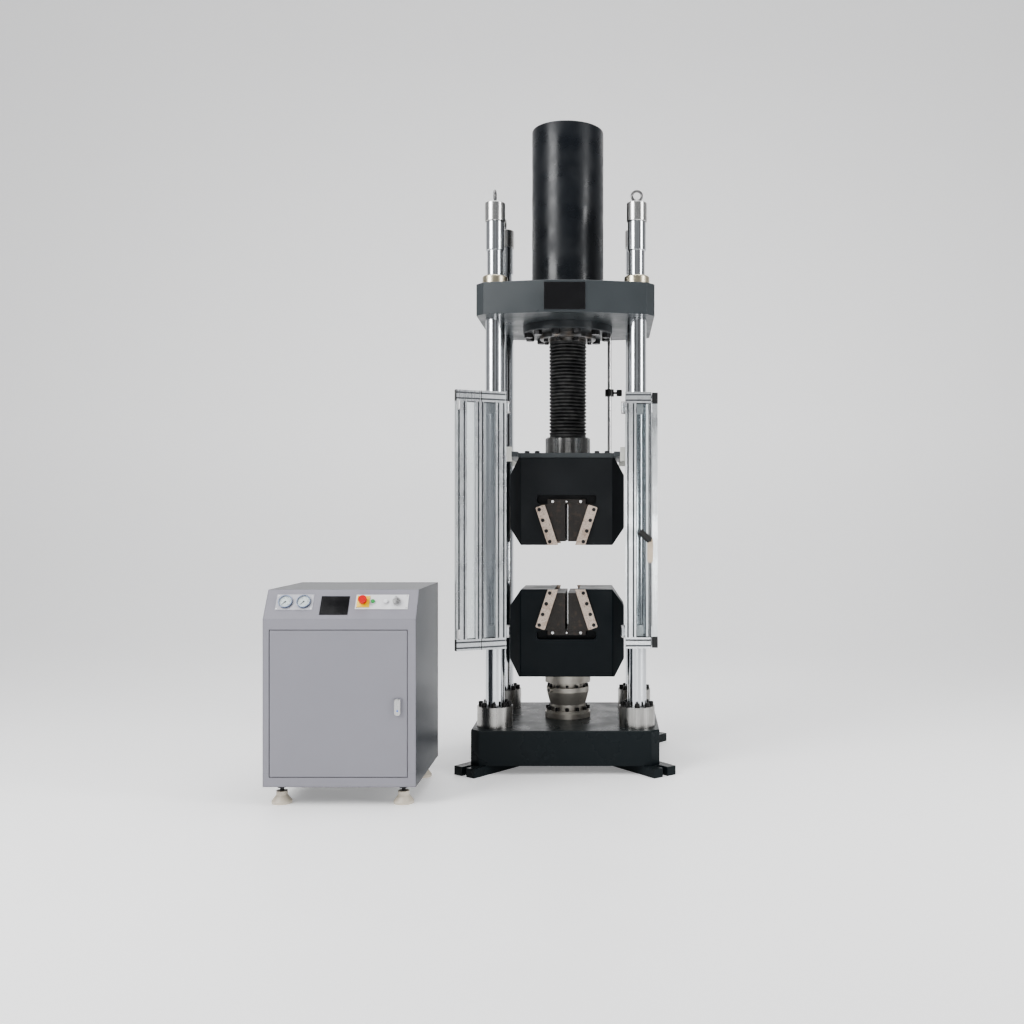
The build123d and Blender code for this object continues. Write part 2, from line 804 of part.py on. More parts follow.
# Crossbar that carries the jaws, with its stem into the head and two screws at the front
carrier_bottom = pocket_top
with BuildPart() as upper_jaw_carrier:
    with BuildSketch(Plane.XY.offset(carrier_bottom)):
        Rectangle(2 * carrier_half, head_depth - 2 * jaw_setback)
    extrude(amount=carrier_height)
    chamfer(upper_jaw_carrier.edges().filter_by(Axis.Z), head_edge)
    with BuildSketch(Plane.XY.offset(carrier_bottom + carrier_height)):
        Circle(carrier_stem_diameter / 2)
    extrude(amount=carrier_stem_height)
save(upper_jaw_carrier.part, "upper_jaw_carrier")

for piece, name in (
    (upper_jaw_left, "lower_jaw_left"),
    (upper_jaw_right, "lower_jaw_right"),
    (upper_jaw_carrier, "lower_jaw_carrier"),
):
    with BuildPart() as lower_piece:
        mirror(piece.part, about=test_space_middle)
    save(lower_piece.part, name)

# Guide plate on the upper head: a hub with a bar at each end that reaches between the columns
bar_half_depth = column_span_y / 2 + guide_pad_width / 2
bar_centre = guide_hub_half + guide_bar_width / 2 - guide_hub_lap
with BuildPart() as guide_plate:
    with BuildSketch(Plane.XY.offset(upper_head_top)):
        Rectangle(2 * guide_hub_half, guide_hub_depth)
        with GridLocations(2 * bar_centre, 0, 2, 1):
            Rectangle(guide_bar_width, 2 * bar_half_depth)
        with GridLocations(2 * guide_pad_inner + guide_bar_width, column_span_y, 2, 2):
            Rectangle(guide_bar_width, guide_pad_width, mode=Mode.SUBTRACT)
        Circle(rod_flange_diameter / 2 + fit_clearance, mode=Mode.SUBTRACT)
    extrude(amount=guide_plate_thickness)
save(guide_plate.part, "guide_plate")

# Plastic pads on the bar ends, hollowed to slide along the columns
pad_middle = upper_head_top + guide_plate_thickness / 2
with BuildPart() as guide_pads:
    with BuildSketch(Plane.XY.offset(pad_middle - guide_pad_height / 2)):
        with GridLocations(2 * guide_pad_inner + guide_pad_reach, column_span_y, 2, 2):
            Rectangle(guide_pad_reach, guide_pad_width)
        with GridLocations(column_span_x, column_span_y, 2, 2):
            Circle(column_radius + seat_gap, mode=Mode.SUBTRACT)
    extrude(amount=guide_pad_height)
save(guide_pads.part, "guide_pads")

# Load cell on the base: stepped base ring and head adaptor, then the waisted cell with its connector
cell_rim_bottom = cell_body_top - cell_rim_height
adaptor_bottom = lower_head_bottom - cell_adaptor_height
with BuildPart() as load_cell_rings:
    with BuildSketch(Plane.XY.offset(base_top)):
        Circle(cell_ring_diameter / 2)
    extrude(amount=cell_ring_height - cell_ring_step)
    with BuildSketch(Plane.XY.offset(cell_body_bottom - cell_ring_step)):
        Circle(cell_ring_diameter / 2 - cell_ring_step / 2)
    extrude(amount=cell_ring_step)
    with BuildSketch(Plane.XY.offset(adaptor_bottom)):
        Circle(cell_adaptor_diameter / 2)
    extrude(amount=cell_adaptor_height)
save(load_cell_rings.part, "load_cell_rings")

connector_level = cell_body_top - cell_rim_height / 2
connector_out = Vector(-sin(radians(cell_connector_turn)), -cos(radians(cell_connector_turn)), 0)
connector_end = connector_out * (cell_diameter / 2 + cell_connector_reach) + Vector(0, 0, connector_level)
connector_plane = Plane(origin=connector_end, x_dir=(0, 0, 1), z_dir=connector_out)
with BuildPart() as load_cell_body:
    with BuildSketch(Plane.XZ):
        with BuildLine():
            Polyline(
                (0, cell_body_bottom),
                (cell_waist_diameter / 2, cell_body_bottom),
                (cell_waist_diameter / 2, cell_body_bottom + cell_waist_height),
                (cell_diameter / 2, cell_rim_bottom),
                (cell_diameter / 2, cell_body_top),
                (cell_neck_diameter / 2, cell_body_top),
                (cell_neck_diameter / 2, adaptor_bottom),
                (0, adaptor_bottom),
                close=True,
            )
        make_face()
    revolve(axis=Axis.Z)
    with BuildSketch(connector_plane):
        Circle(cell_connector_diameter / 2)
    extrude(amount=-cell_connector_reach - cell_connector_diameter)
save(load_cell_body.part, "load_cell_body")

# Limit rod, standing on the guide plate and sliding through the crosshead
guide_plate_top = upper_head_top + guide_plate_thickness
with BuildPart() as limit_rod:
    with BuildSketch(Plane.XY.offset(guide_plate_top)):
        with Locations((limit_rod_x, limit_rod_y)):
            Circle(limit_rod_foot / 2)
    extrude(amount=limit_rod_foot_height)
    with BuildSketch(Plane.XY.offset(guide_plate_top + limit_rod_foot_height)):
        with Locations((limit_rod_x, limit_rod_y)):
            Circle(limit_rod_diameter / 2)
    extrude(amount=crosshead_bottom + limit_rod_reach - guide_plate_top - limit_rod_foot_height)
save(limit_rod.part, "limit_rod")

# Limit collar with its lobed clamp knob
knob_start = limit_rod_x + limit_collar_diameter / 2 + limit_knob_stem_length
with BuildPart() as limit_collar:
    with BuildSketch(Plane.XY.offset(limit_collar_level - limit_collar_height / 2)):
        with Locations((limit_rod_x, limit_rod_y)):
            Circle(limit_collar_diameter / 2)
    extrude(amount=limit_collar_height)
    with BuildSketch(Plane.YZ.offset(limit_rod_x)):
        with Locations((limit_rod_y, limit_collar_level)):
            Circle(limit_knob_stem / 2)
    extrude(amount=knob_start - limit_rod_x)
    with BuildSketch(Plane.XY.offset(limit_collar_level - limit_collar_height / 2)):
        with Locations((limit_rod_x, limit_rod_y)):
            Circle(limit_rod_diameter / 2 + running_clearance)
    extrude(amount=limit_collar_height, mode=Mode.SUBTRACT)
    with BuildSketch(Plane.YZ.offset(knob_start)):
        with Locations((limit_rod_y, limit_collar_level)):
            Circle(limit_knob_diameter / 2 - limit_knob_stem / 4)
            with PolarLocations(limit_knob_diameter / 2 - limit_knob_stem / 4, limit_knob_lobes):
                Circle(limit_knob_stem / 2)
    extrude(amount=limit_knob_length)
save(limit_collar.part, "limit_collar")

# Guards: each one is two leaves of slotted profile, hinged to a column bracket and folded in the middle
right_guard_plane = Plane(origin=(guard_hinge_x, guard_hinge_y, 0), x_dir=(1, 0, 0), z_dir=(0, 0, 1))
swing = radians(left_guard_swing)
left_guard_direction = (-cos(swing), -sin(swing), 0)
left_guard_plane = Plane(
    origin=(-guard_hinge_x, guard_hinge_y, 0), x_dir=left_guard_direction, z_dir=(0, 0, 1)
)
guard_top = guard_bottom + guard_height
stile_bottom = guard_bottom + profile_wide
stile_height = guard_height - 2 * profile_wide
fold_offset = profile_thin / 2 + fold_knuckle_radius
fold_along = hinge_reach + inner_leaf_length + leaf_gap


def slotted_profile(width, slots):
    """Draw one profile section, its slots in both long faces, in the current sketch."""
    Rectangle(width, profile_thin)
    pitch = width / slots
    with GridLocations(pitch, profile_thin - profile_slot_depth, slots, 2):
        Rectangle(profile_slot, profile_slot_depth, mode=Mode.SUBTRACT)


def leaf_frame(leaf_plane, start, length, centre, stiles):
    """Build the rails and stiles of one leaf that begins at start along the plane's X."""
    rail_facing = leaf_plane.x_dir
    with BuildPart() as frame:
        for level in (guard_bottom + profile_wide / 2, guard_top - profile_wide / 2):
            rail_origin = leaf_plane.from_local_coords((start, centre, level))
            with BuildSketch(Plane(origin=rail_origin, x_dir=(0, 0, 1), z_dir=rail_facing)):
                slotted_profile(profile_wide, 2)
            extrude(amount=length)
        for first, width, slots in stiles:
            stile_origin = leaf_plane.from_local_coords((first + width / 2, centre, stile_bottom))
            with BuildSketch(Plane(origin=stile_origin, x_dir=rail_facing, z_dir=(0, 0, 1))):
                slotted_profile(width, slots)
            extrude(amount=stile_height)
    return frame.part


def window_pane(leaf_plane, first, last, centre):
    """Build one clear pane between two stiles and two rails."""
    origin = leaf_plane.from_local_coords(((first + last) / 2, centre, stile_bottom + window_seat))
    with BuildPart() as pane:
        with BuildSketch(Plane(origin=origin, x_dir=leaf_plane.x_dir, z_dir=(0, 0, 1))):
            Rectangle(last - first - 2 * window_seat, window_thickness)
        extrude(amount=stile_height - 2 * window_seat)
    return pane.part


def inner_leaf(guard_plane, back):
    """Build the leaf next to the column, with its swing knuckles and its half of the fold hinge."""
    wide = (hinge_reach, profile_wide, 2)
    edge = (hinge_reach + inner_leaf_length - inner_edge_width, inner_edge_width, 1)
    frame = leaf_frame(guard_plane, hinge_reach, inner_leaf_length, 0, (wide, edge))
    fold_face = back * (profile_thin + fold_tab_thickness) / 2
    with BuildPart() as leaf:
        add(frame)
        for level in hinge_levels:
            with BuildSketch(guard_plane.offset(level - hinge_knuckle_height / 2)):
                Circle(hinge_knuckle_radius)
                with Locations((hinge_reach / 2, 0)):
                    Rectangle(hinge_reach, hinge_tab_thickness)
                Circle(hinge_pin_radius + running_clearance, mode=Mode.SUBTRACT)
            extrude(amount=hinge_knuckle_height)
            with BuildSketch(guard_plane.offset(level - fold_knuckle_height / 2)):
                with Locations((fold_along - fold_tab_length / 2, fold_face)):
                    Rectangle(fold_tab_length, fold_tab_thickness)
                with Locations((fold_along, back * fold_offset)):
                    Circle(fold_knuckle_radius)
                    Circle(fold_pin_radius + running_clearance, mode=Mode.SUBTRACT)
            extrude(amount=fold_knuckle_height)
    return leaf.part


def outer_leaf(fold_plane, back):
    """Build the leaf that folds, with the fold pins and the outer knuckles."""
    narrow = (leaf_gap, profile_thin, 1)
    wide = (leaf_gap + outer_leaf_length - profile_wide, profile_wide, 2)
    frame = leaf_frame(fold_plane, leaf_gap, outer_leaf_length, -back * fold_offset, (narrow, wide))
    tab_middle = -back * (fold_knuckle_radius - fold_tab_thickness / 2)
    with BuildPart() as leaf:
        add(frame)
        for level in hinge_levels:
            knuckle_top = level + fold_knuckle_height / 2 + seat_gap
            knuckle_bottom = level - fold_knuckle_height - seat_gap
            for bottom in (knuckle_top, knuckle_bottom):
                with BuildSketch(fold_plane.offset(bottom)):
                    Circle(fold_knuckle_radius)
                    with Locations((fold_tab_length / 2, tab_middle)):
                        Rectangle(fold_tab_length, fold_tab_thickness)
                extrude(amount=fold_knuckle_height / 2)
            with BuildSketch(fold_plane.offset(knuckle_bottom)):
                Circle(fold_pin_radius)
            extrude(amount=knuckle_top - knuckle_bottom)
    return leaf.part


def fold_plane_of(guard_plane, back, fold_angle):
    """Place the folding leaf's plane on the fold axis, turned back by its resting angle."""
    origin = guard_plane.from_local_coords((fold_along, back * fold_offset, 0))
    along = guard_plane.x_dir.rotate(Axis.Z, fold_angle)
    return Plane(origin=origin, x_dir=along, z_dir=(0, 0, 1))


for side_name, guard_plane, back, fold_angle in (
    ("right", right_guard_plane, 1, right_guard_fold),
    ("left", left_guard_plane, -1, 0),
):
    fold_plane = fold_plane_of(guard_plane, back, fold_angle)
    inner_first = hinge_reach + profile_wide
    inner_last = hinge_reach + inner_leaf_length - inner_edge_width
    outer_first = leaf_gap + profile_thin
    outer_last = leaf_gap + outer_leaf_length - profile_wide
    save(inner_leaf(guard_plane, back), f"{side_name}_inner_frame")
    save(window_pane(guard_plane, inner_first, inner_last, 0), f"{side_name}_inner_window")
    save(outer_leaf(fold_plane, back), f"{side_name}_outer_frame")
    save(window_pane(fold_plane, outer_first, outer_last, -back * fold_offset), f"{side_name}_outer_window")

# Hinge brackets: a saddle on each front column, two lugs and the hinge pin, at two levels
lug_gap = hinge_knuckle_height / 2 + seat_gap
bracket_face = guard_hinge_y + profile_thin / 2 + bracket_back_gap
block_left = guard_hinge_x + bracket_block_start
with BuildPart() as guard_brackets:
    for level in hinge_levels:
        for lug_bottom in (level - lug_gap - bracket_lug, level + lug_gap):
            with BuildSketch(Plane.XY.offset(lug_bottom)):
                with Locations((guard_hinge_x, guard_hinge_y)):
                    Circle(hinge_knuckle_radius)
                with BuildLine():
                    Polyline(
                        (guard_hinge_x - hinge_knuckle_radius, guard_hinge_y),
                        (guard_hinge_x + hinge_knuckle_radius, guard_hinge_y),
                        (guard_hinge_x + hinge_knuckle_radius, bracket_face),
                        (block_left + bracket_block_width, bracket_face),
                        (block_left + bracket_block_width, bracket_face + bracket_block_depth),
                        (block_left, bracket_face + bracket_block_depth),
                        (guard_hinge_x - hinge_knuckle_radius, bracket_face + bracket_block_start),
                        close=True,
                    )
                make_face()
                with Locations((column_span_x / 2, -column_span_y / 2)):
                    Circle(column_radius + fit_clearance, mode=Mode.SUBTRACT)
            extrude(amount=bracket_lug)
        with BuildSketch(Plane.XY.offset(level - lug_gap)):
            with Locations((block_left + bracket_block_width / 2, bracket_face + bracket_block_depth / 2)):
                Rectangle(bracket_block_width, bracket_block_depth)
            with Locations((column_span_x / 2, -column_span_y / 2)):
                Circle(column_radius + fit_clearance, mode=Mode.SUBTRACT)
        extrude(amount=2 * lug_gap)
        with BuildSketch(Plane.XY.offset(level - lug_gap)):
            with Locations((guard_hinge_x, guard_hinge_y)):
                Circle(hinge_pin_radius)
        extrude(amount=2 * lug_gap)
    mirror(about=Plane.YZ)
save(guard_brackets.part, "guard_brackets")

# Guard handle: a plate on the leaf's edge strip, a stem and a tilted grip
handle_plate_x = guard_hinge_x + hinge_reach + inner_leaf_length - inner_edge_width / 2
handle_face = guard_hinge_y - profile_thin / 2
grip_lean = radians(handle_tilt)
grip_axis = Vector(-cos(grip_lean), 0, sin(grip_lean))
grip_centre = Vector(handle_grip_x, handle_grip_y, handle_level)
grip_start = grip_centre - grip_axis * (handle_grip_length / 2)
plate_top = grip_start.Z + handle_plate_drop
with BuildPart() as guard_handle:
    with BuildSketch(Plane.XZ.offset(-handle_face)):
        with Locations((handle_plate_x, plate_top - handle_plate_height / 2)):
            RectangleRounded(handle_plate_width, handle_plate_height, handle_plate_width / 3)
    extrude(amount=handle_plate_thickness)
    with BuildSketch(Plane.XZ.offset(-handle_face)):
        with Locations((grip_start.X, grip_start.Z)):
            Circle(handle_stem_diameter / 2)
    extrude(amount=handle_face - handle_grip_y)
    with BuildSketch(Plane(origin=grip_start, x_dir=(0, 1, 0), z_dir=grip_axis)):
        Circle(handle_grip_diameter / 2)
    extrude(amount=handle_grip_length)
save(guard_handle.part, "guard_handle")

# Oil source cabinet: planes and door opening
cabinet_centre = cabinet_left + cabinet_width / 2
cabinet_back = cabinet_front + cabinet_depth
cabinet_top = cabinet_bottom + cabinet_height
slope_bottom = cabinet_bottom + cabinet_front_height
slope_rise = cabinet_top - slope_bottom
slope_length = (cabinet_slope_run**2 + slope_rise**2) ** 0.5
slope_normal = (0, -slope_rise / slope_length, cabinet_slope_run / slope_length)
slope_middle = (cabinet_centre, cabinet_front + cabinet_slope_run / 2, slope_bottom + slope_rise / 2)
slope = Plane(origin=slope_middle, x_dir=(1, 0, 0), z_dir=slope_normal)
panel = slope.offset(panel_plate_thickness)
door_width = cabinet_width - door_left_margin - door_right_margin
door_left = cabinet_left + door_left_margin
door_centre = door_left + door_width / 2
door_bottom = cabinet_bottom + door_bottom_margin
door_middle = door_bottom + door_height / 2
door_top = door_bottom + door_height
opening_width = door_width + 2 * door_gap
opening_height = door_height + 2 * door_gap
lip_front = cabinet_front + door_thickness + door_back_gap
tunnel_depth = lip_front + cabinet_wall - cabinet_front
stile_half = opening_height / 2 - door_lap
pin_x = door_left + door_pin_inset
pin_y = cabinet_front + door_pin_inset
ports = [cabinet_centre - port_spacing / 2, cabinet_centre + port_spacing / 2]
estop_x = switch_plate_offset + estop_offset
key_x = switch_plate_offset + key_offset
button_places = [switch_plate_offset + shift for shift in button_offsets]
gauge_places = [gauge_plate_offset - gauge_spacing / 2, gauge_plate_offset + gauge_spacing / 2]

with BuildPart() as cabinet_shell:
    with BuildSketch(Plane.YZ.offset(cabinet_left)):
        with BuildLine():
            Polyline(
                (cabinet_front, cabinet_bottom),
                (cabinet_front, slope_bottom),
                (cabinet_front + cabinet_slope_run, cabinet_top),
                (cabinet_back, cabinet_top),
                (cabinet_back, cabinet_bottom),
                close=True,
            )
        make_face()
    extrude(amount=cabinet_width)
    with BuildSketch(Plane.YZ.offset(cabinet_left + cabinet_wall)):
        with BuildLine():
            Polyline(
                (cabinet_front, cabinet_bottom),
                (cabinet_front, slope_bottom),
                (cabinet_front + cabinet_slope_run, cabinet_top),
                (cabinet_back, cabinet_top),
                (cabinet_back, cabinet_bottom),
                close=True,
            )
        make_face()
        offset(amount=-cabinet_wall, kind=Kind.INTERSECTION, mode=Mode.REPLACE)
    extrude(amount=cabinet_width - 2 * cabinet_wall, mode=Mode.SUBTRACT)
    with BuildSketch(Plane.XZ.offset(-cabinet_front)):
        with Locations((door_centre, door_middle)):
            Rectangle(opening_width + 2 * cabinet_wall, opening_height + 2 * cabinet_wall)
            Rectangle(opening_width, opening_height, mode=Mode.SUBTRACT)
    extrude(amount=-tunnel_depth)
    with BuildSketch(Plane.XZ.offset(-cabinet_front)):
        with Locations((door_centre, door_middle)):
            Rectangle(opening_width, opening_height)
    extrude(amount=-(tunnel_depth - cabinet_wall), mode=Mode.SUBTRACT)
    with BuildSketch(Plane.XZ.offset(-lip_front)):
        with Locations((door_centre, door_middle)):
            Rectangle(opening_width, opening_height)
            Rectangle(opening_width - 2 * door_lap, opening_height - 2 * door_lap, mode=Mode.SUBTRACT)
    extrude(amount=-cabinet_wall)
    for pin_level in (door_bottom - door_gap - cabinet_wall, door_top + door_gap):
        with BuildSketch(Plane.XY.offset(pin_level)):
            with Locations((pin_x, pin_y)):
                Circle(door_pin_radius + running_clearance)
        extrude(amount=cabinet_wall, mode=Mode.SUBTRACT)
    with BuildSketch(slope):
        for place in gauge_places:
            with Locations((place, gauge_plate_rise)):
                Circle(gauge_can_diameter / 2 + control_clearance)
        with Locations((estop_x, switch_plate_rise)):
            Circle(estop_stem / 2 + control_clearance)
        with Locations((key_x, switch_plate_rise)):
            Circle(key_stem / 2 + control_clearance)
        for place in button_places:
            with Locations((place, switch_plate_rise)):
                Circle(button_diameter / 2 + control_clearance)
    extrude(amount=-2 * cabinet_wall, mode=Mode.SUBTRACT)
    with BuildSketch(Plane.XZ.offset(-cabinet_back)):
        for place in ports:
            with Locations((place, port_level)):
                Circle(port_bore / 2)
    extrude(amount=cabinet_wall, mode=Mode.SUBTRACT)
    for seam_x in (cabinet_left + cabinet_wall, cabinet_left + cabinet_width - cabinet_wall - panel_seam):
        with BuildSketch(Plane.YZ.offset(seam_x)):
            with Locations((cabinet_front + cabinet_depth / 2, cabinet_bottom + cabinet_height / 2)):
                Rectangle(cabinet_depth, cabinet_height)
        extrude(amount=panel_seam, mode=Mode.SUBTRACT)
    with BuildSketch(Plane.YZ.offset(cabinet_left + cabinet_wall)):
        with Locations((cabinet_front + tunnel_depth / 2, slope_bottom - panel_seam / 2)):
            Rectangle(tunnel_depth, panel_seam)
        with Locations((cabinet_front + cabinet_slope_run + panel_seam / 2, cabinet_top - cabinet_wall)):
            Rectangle(panel_seam, 2 * cabinet_wall)
        with Locations((cabinet_back - cabinet_wall / 2, cabinet_top - cabinet_wall - panel_seam / 2)):
            Rectangle(cabinet_wall, panel_seam)
        with Locations((cabinet_front + cabinet_depth / 2, cabinet_bottom + cabinet_wall + panel_seam / 2)):
            Rectangle(cabinet_depth, panel_seam)
        with Locations((cabinet_front + tunnel_depth / 2, door_middle)):
            with GridLocations(0, 2 * stile_half + panel_seam, 1, 2):
                Rectangle(tunnel_depth, panel_seam)
    extrude(amount=cabinet_width - 2 * cabinet_wall, mode=Mode.SUBTRACT)
save(cabinet_shell.part, "cabinet_shell")

# Door: a folded sheet pan with a grip plate for the handle, on two corner pins
handle_x = door_left + door_width - door_handle_inset
lever_back = cabinet_front - handle_rim / 2 - seat_gap
lever_pin_y = lever_back - door_handle_thickness / 2
lever_pin_z = door_handle_level + door_handle_height / 2 - door_handle_thickness / 2
ear_inner = door_handle_width / 2 + seat_gap
with BuildPart() as cabinet_door:
    with BuildSketch(Plane.XZ.offset(-cabinet_front)):
        with Locations((door_centre, door_middle)):
            Rectangle(door_width, door_height)
    extrude(amount=-door_thickness)
    with BuildSketch(Plane.XZ.offset(-cabinet_front - door_sheet)):
        with Locations((door_centre, door_middle)):
            Rectangle(door_width - 2 * door_sheet, door_height - 2 * door_sheet)
    extrude(amount=-(door_thickness - door_sheet), mode=Mode.SUBTRACT)
    for pin_level in (door_bottom - door_gap - cabinet_wall, door_top):
        with BuildSketch(Plane.XY.offset(pin_level)):
            with Locations((pin_x, pin_y)):
                Circle(door_pin_radius)
        extrude(amount=door_gap + cabinet_wall)
    with BuildSketch(Plane.XZ.offset(-cabinet_front)):
        with Locations((handle_x, door_handle_level)):
            SlotOverall(door_handle_height + 2 * handle_rim, door_handle_width + 2 * handle_rim, rotation=90)
    extrude(amount=handle_rim / 2)
    for ear_x in (handle_x - ear_inner - lever_ear_width, handle_x + ear_inner):
        with BuildSketch(Plane.YZ.offset(ear_x)):
            with Locations(((cabinet_front + lever_pin_y) / 2, lever_pin_z)):
                Rectangle(cabinet_front - lever_pin_y, door_handle_thickness)
            with Locations((lever_pin_y, lever_pin_z)):
                Circle(door_handle_thickness / 2)
                Circle(lever_pin_radius + running_clearance, mode=Mode.SUBTRACT)
        extrude(amount=lever_ear_width)
save(cabinet_door.part, "cabinet_door")

# Door handle: a lever, round at both ends, that lifts out about the pin through its upper end
with BuildPart() as door_handle:
    with BuildSketch(Plane.XZ.offset(-lever_back)):
        with Locations((handle_x, door_handle_level)):
            SlotOverall(door_handle_height, door_handle_width, rotation=90)
    extrude(amount=door_handle_thickness)
    with BuildSketch(Plane.YZ.offset(handle_x)):
        with Locations((lever_pin_y, door_handle_level)):
            SlotOverall(door_handle_height, door_handle_thickness, rotation=90)
    extrude(amount=door_handle_width / 2, both=True, mode=Mode.INTERSECT)
    with BuildSketch(Plane.YZ.offset(handle_x)):
        with Locations((lever_pin_y, lever_pin_z)):
            Circle(lever_pin_radius)
    extrude(amount=ear_inner + lever_ear_width, both=True)
save(door_handle.part, "door_handle")

# Levelling feet with their jam nuts
with BuildPart() as cabinet_feet:
    for foot_x in (cabinet_left + cabinet_foot_inset, cabinet_left + cabinet_width - cabinet_foot_inset):
        for foot_y in (cabinet_front + cabinet_foot_inset, cabinet_back - cabinet_foot_inset):
            with BuildSketch(Plane(origin=(foot_x, foot_y, 0), x_dir=(1, 0, 0), z_dir=(0, -1, 0))):
                with BuildLine():
                    Polyline(
                        (0, 0),
                        (cabinet_foot_diameter / 2, 0),
                        (cabinet_foot_diameter / 2, foot_rim_height),
                        (cabinet_foot_neck / 2, foot_dome_height),
                        (cabinet_foot_neck / 2, foot_neck_top),
                        (cabinet_foot_stem / 2, foot_neck_top),
                        (cabinet_foot_stem / 2, cabinet_bottom),
                        (0, cabinet_bottom),
                        close=True,
                    )
                make_face()
            revolve(axis=Axis((foot_x, foot_y, 0), (0, 0, 1)))
            with BuildSketch(Plane.XY.offset(cabinet_bottom - foot_nut_height)):
                with Locations((foot_x, foot_y)):
                    RegularPolygon(cabinet_foot_nut / 2, 6, major_radius=False)
            extrude(amount=foot_nut_height)
save(cabinet_feet.part, "cabinet_feet")

# Control plates on the slope, with the square of the stop button and the rims of the push buttons
with BuildPart() as control_plates:
    with BuildSketch(slope):
        with Locations((gauge_plate_offset, gauge_plate_rise)):
            Rectangle(gauge_plate_width, gauge_plate_height)
        for place in gauge_places:
            with Locations((place, gauge_plate_rise)):
                Circle(gauge_can_diameter / 2 + control_clearance, mode=Mode.SUBTRACT)
        with Locations((switch_plate_offset, switch_plate_rise)):
            Rectangle(switch_plate_width, switch_plate_height)
    extrude(amount=panel_plate_thickness)
    with BuildSketch(panel):
        with Locations((estop_x, switch_plate_rise)):
            Rectangle(estop_square, estop_square)
        for place in button_places:
            with Locations((place, switch_plate_rise)):
                Circle(button_rim / 2)
    extrude(amount=button_rim_height)
    with BuildSketch(slope):
        with Locations((estop_x, switch_plate_rise)):
            Circle(estop_stem / 2 + control_clearance)
        with Locations((key_x, switch_plate_rise)):
            Circle(key_stem / 2 + control_clearance)
        for place in button_places:
            with Locations((place, switch_plate_rise)):
                Circle(button_diameter / 2 + control_clearance)
    extrude(amount=panel_plate_thickness + button_rim_height, mode=Mode.SUBTRACT)
save(control_plates.part, "control_plates")

# Bare plates: one on the crosshead's front, one in the middle of the cabinet's slope
with BuildPart() as blank_plates:
    with BuildSketch(Plane.XZ.offset(crosshead_half + crosshead_bow)):
        with Locations((0, crosshead_bottom + crosshead_thickness / 2)):
            Rectangle(blank_plate_width, blank_plate_height)
    extrude(amount=blank_plate_thickness)
    with BuildSketch(slope):
        with Locations((panel_blank_offset, panel_blank_rise)):
            Rectangle(panel_blank_width, panel_blank_height)
    extrude(amount=panel_plate_thickness)
save(blank_plates.part, "blank_plates")

# Gauges: a can behind the plate, a dial and a rim in front of it
with BuildPart() as gauges:
    for place in gauge_places:
        gauge_origin = panel.from_local_coords((place, gauge_plate_rise, 0))
        gauge_plane = Plane(origin=gauge_origin, x_dir=(1, 0, 0), z_dir=slope_normal)
        with BuildSketch(gauge_plane.offset(-gauge_depth)):
            Circle(gauge_can_diameter / 2)
        extrude(amount=gauge_depth)
        with BuildSketch(gauge_plane):
            Circle(gauge_diameter / 2)
        extrude(amount=gauge_dial_height)
        with BuildSketch(gauge_plane.offset(gauge_dial_height)):
            Circle(gauge_diameter / 2)
            Circle(gauge_diameter / 2 - gauge_rim, mode=Mode.SUBTRACT)
        extrude(amount=gauge_rim_height - gauge_dial_height)
save(gauges.part, "gauges")

for name, place in zip(("gauge_pointer_left", "gauge_pointer_right"), gauge_places):
    pointer_origin = panel.from_local_coords((place, gauge_plate_rise, gauge_dial_height + seat_gap))
    pointer_turn = radians(pointer_zero_angle)
    pointer_x = Vector(cos(pointer_turn), 0, 0) + slope.y_dir * sin(pointer_turn)
    with BuildPart() as pointer:
        with BuildSketch(Plane(origin=pointer_origin, x_dir=pointer_x, z_dir=slope_normal)):
            Circle(pointer_hub)
            with BuildLine():
                Polyline(
                    (0, pointer_width),
                    (pointer_length, pointer_width / 4),
                    (pointer_length, -pointer_width / 4),
                    (0, -pointer_width),
                    close=True,
                )
            make_face()
        extrude(amount=pointer_thickness)
    save(pointer.part, name)

# Controls that move, each with its stem through the plate and the slope
with BuildPart() as estop_button:
    with BuildSketch(slope.offset(-estop_inside)):
        with Locations((estop_x, switch_plate_rise)):
            Circle(estop_stem / 2)
    extrude(amount=estop_inside + panel_plate_thickness + button_rim_height + estop_neck)
    with BuildSketch(slope.offset(panel_plate_thickness + button_rim_height + estop_neck)):
        with Locations((estop_x, switch_plate_rise)):
            Circle(estop_diameter / 2)
    extrude(amount=estop_head_height)
save(estop_button.part, "estop_button")

for name, place in zip(("push_button_left", "push_button_right"), button_places):
    with BuildPart() as push_button:
        with BuildSketch(slope.offset(-button_inside)):
            with Locations((place, switch_plate_rise)):
                Circle(button_diameter / 2)
        extrude(amount=button_inside + panel_plate_thickness + button_height)
    save(push_button.part, name)

with BuildPart() as key_switch:
    with BuildSketch(slope.offset(-button_inside)):
        with Locations((key_x, switch_plate_rise)):
            Circle(key_stem / 2)
    extrude(amount=button_inside + panel_plate_thickness + seat_gap)
    with BuildSketch(panel.offset(seat_gap)):
        with Locations((key_x, switch_plate_rise)):
            Circle(key_diameter / 2)
    extrude(amount=key_height)
    with BuildSketch(panel.offset(seat_gap + key_height)):
        with Locations((key_x, switch_plate_rise)):
            Rectangle(key_lever_width, key_lever_length)
    extrude(amount=key_lever_height)
save(key_switch.part, "key_switch")

# Oil tank with its lid
floor_level = cabinet_bottom + cabinet_wall
tank_middle = cabinet_front + cabinet_depth / 2 + tank_set_back
with BuildPart() as oil_tank:
    with BuildSketch(Plane.XY.offset(floor_level)):
        with Locations((cabinet_centre, tank_middle)):
            Rectangle(tank_width, tank_depth)
    extrude(amount=tank_height)
    with BuildSketch(Plane.XY.offset(floor_level + tank_height)):
        with Locations((cabinet_centre, tank_middle)):
            Rectangle(tank_width + 2 * tank_lid_lap, tank_depth + 2 * tank_lid_lap)
    extrude(amount=tank_lid)
save(oil_tank.part, "oil_tank")

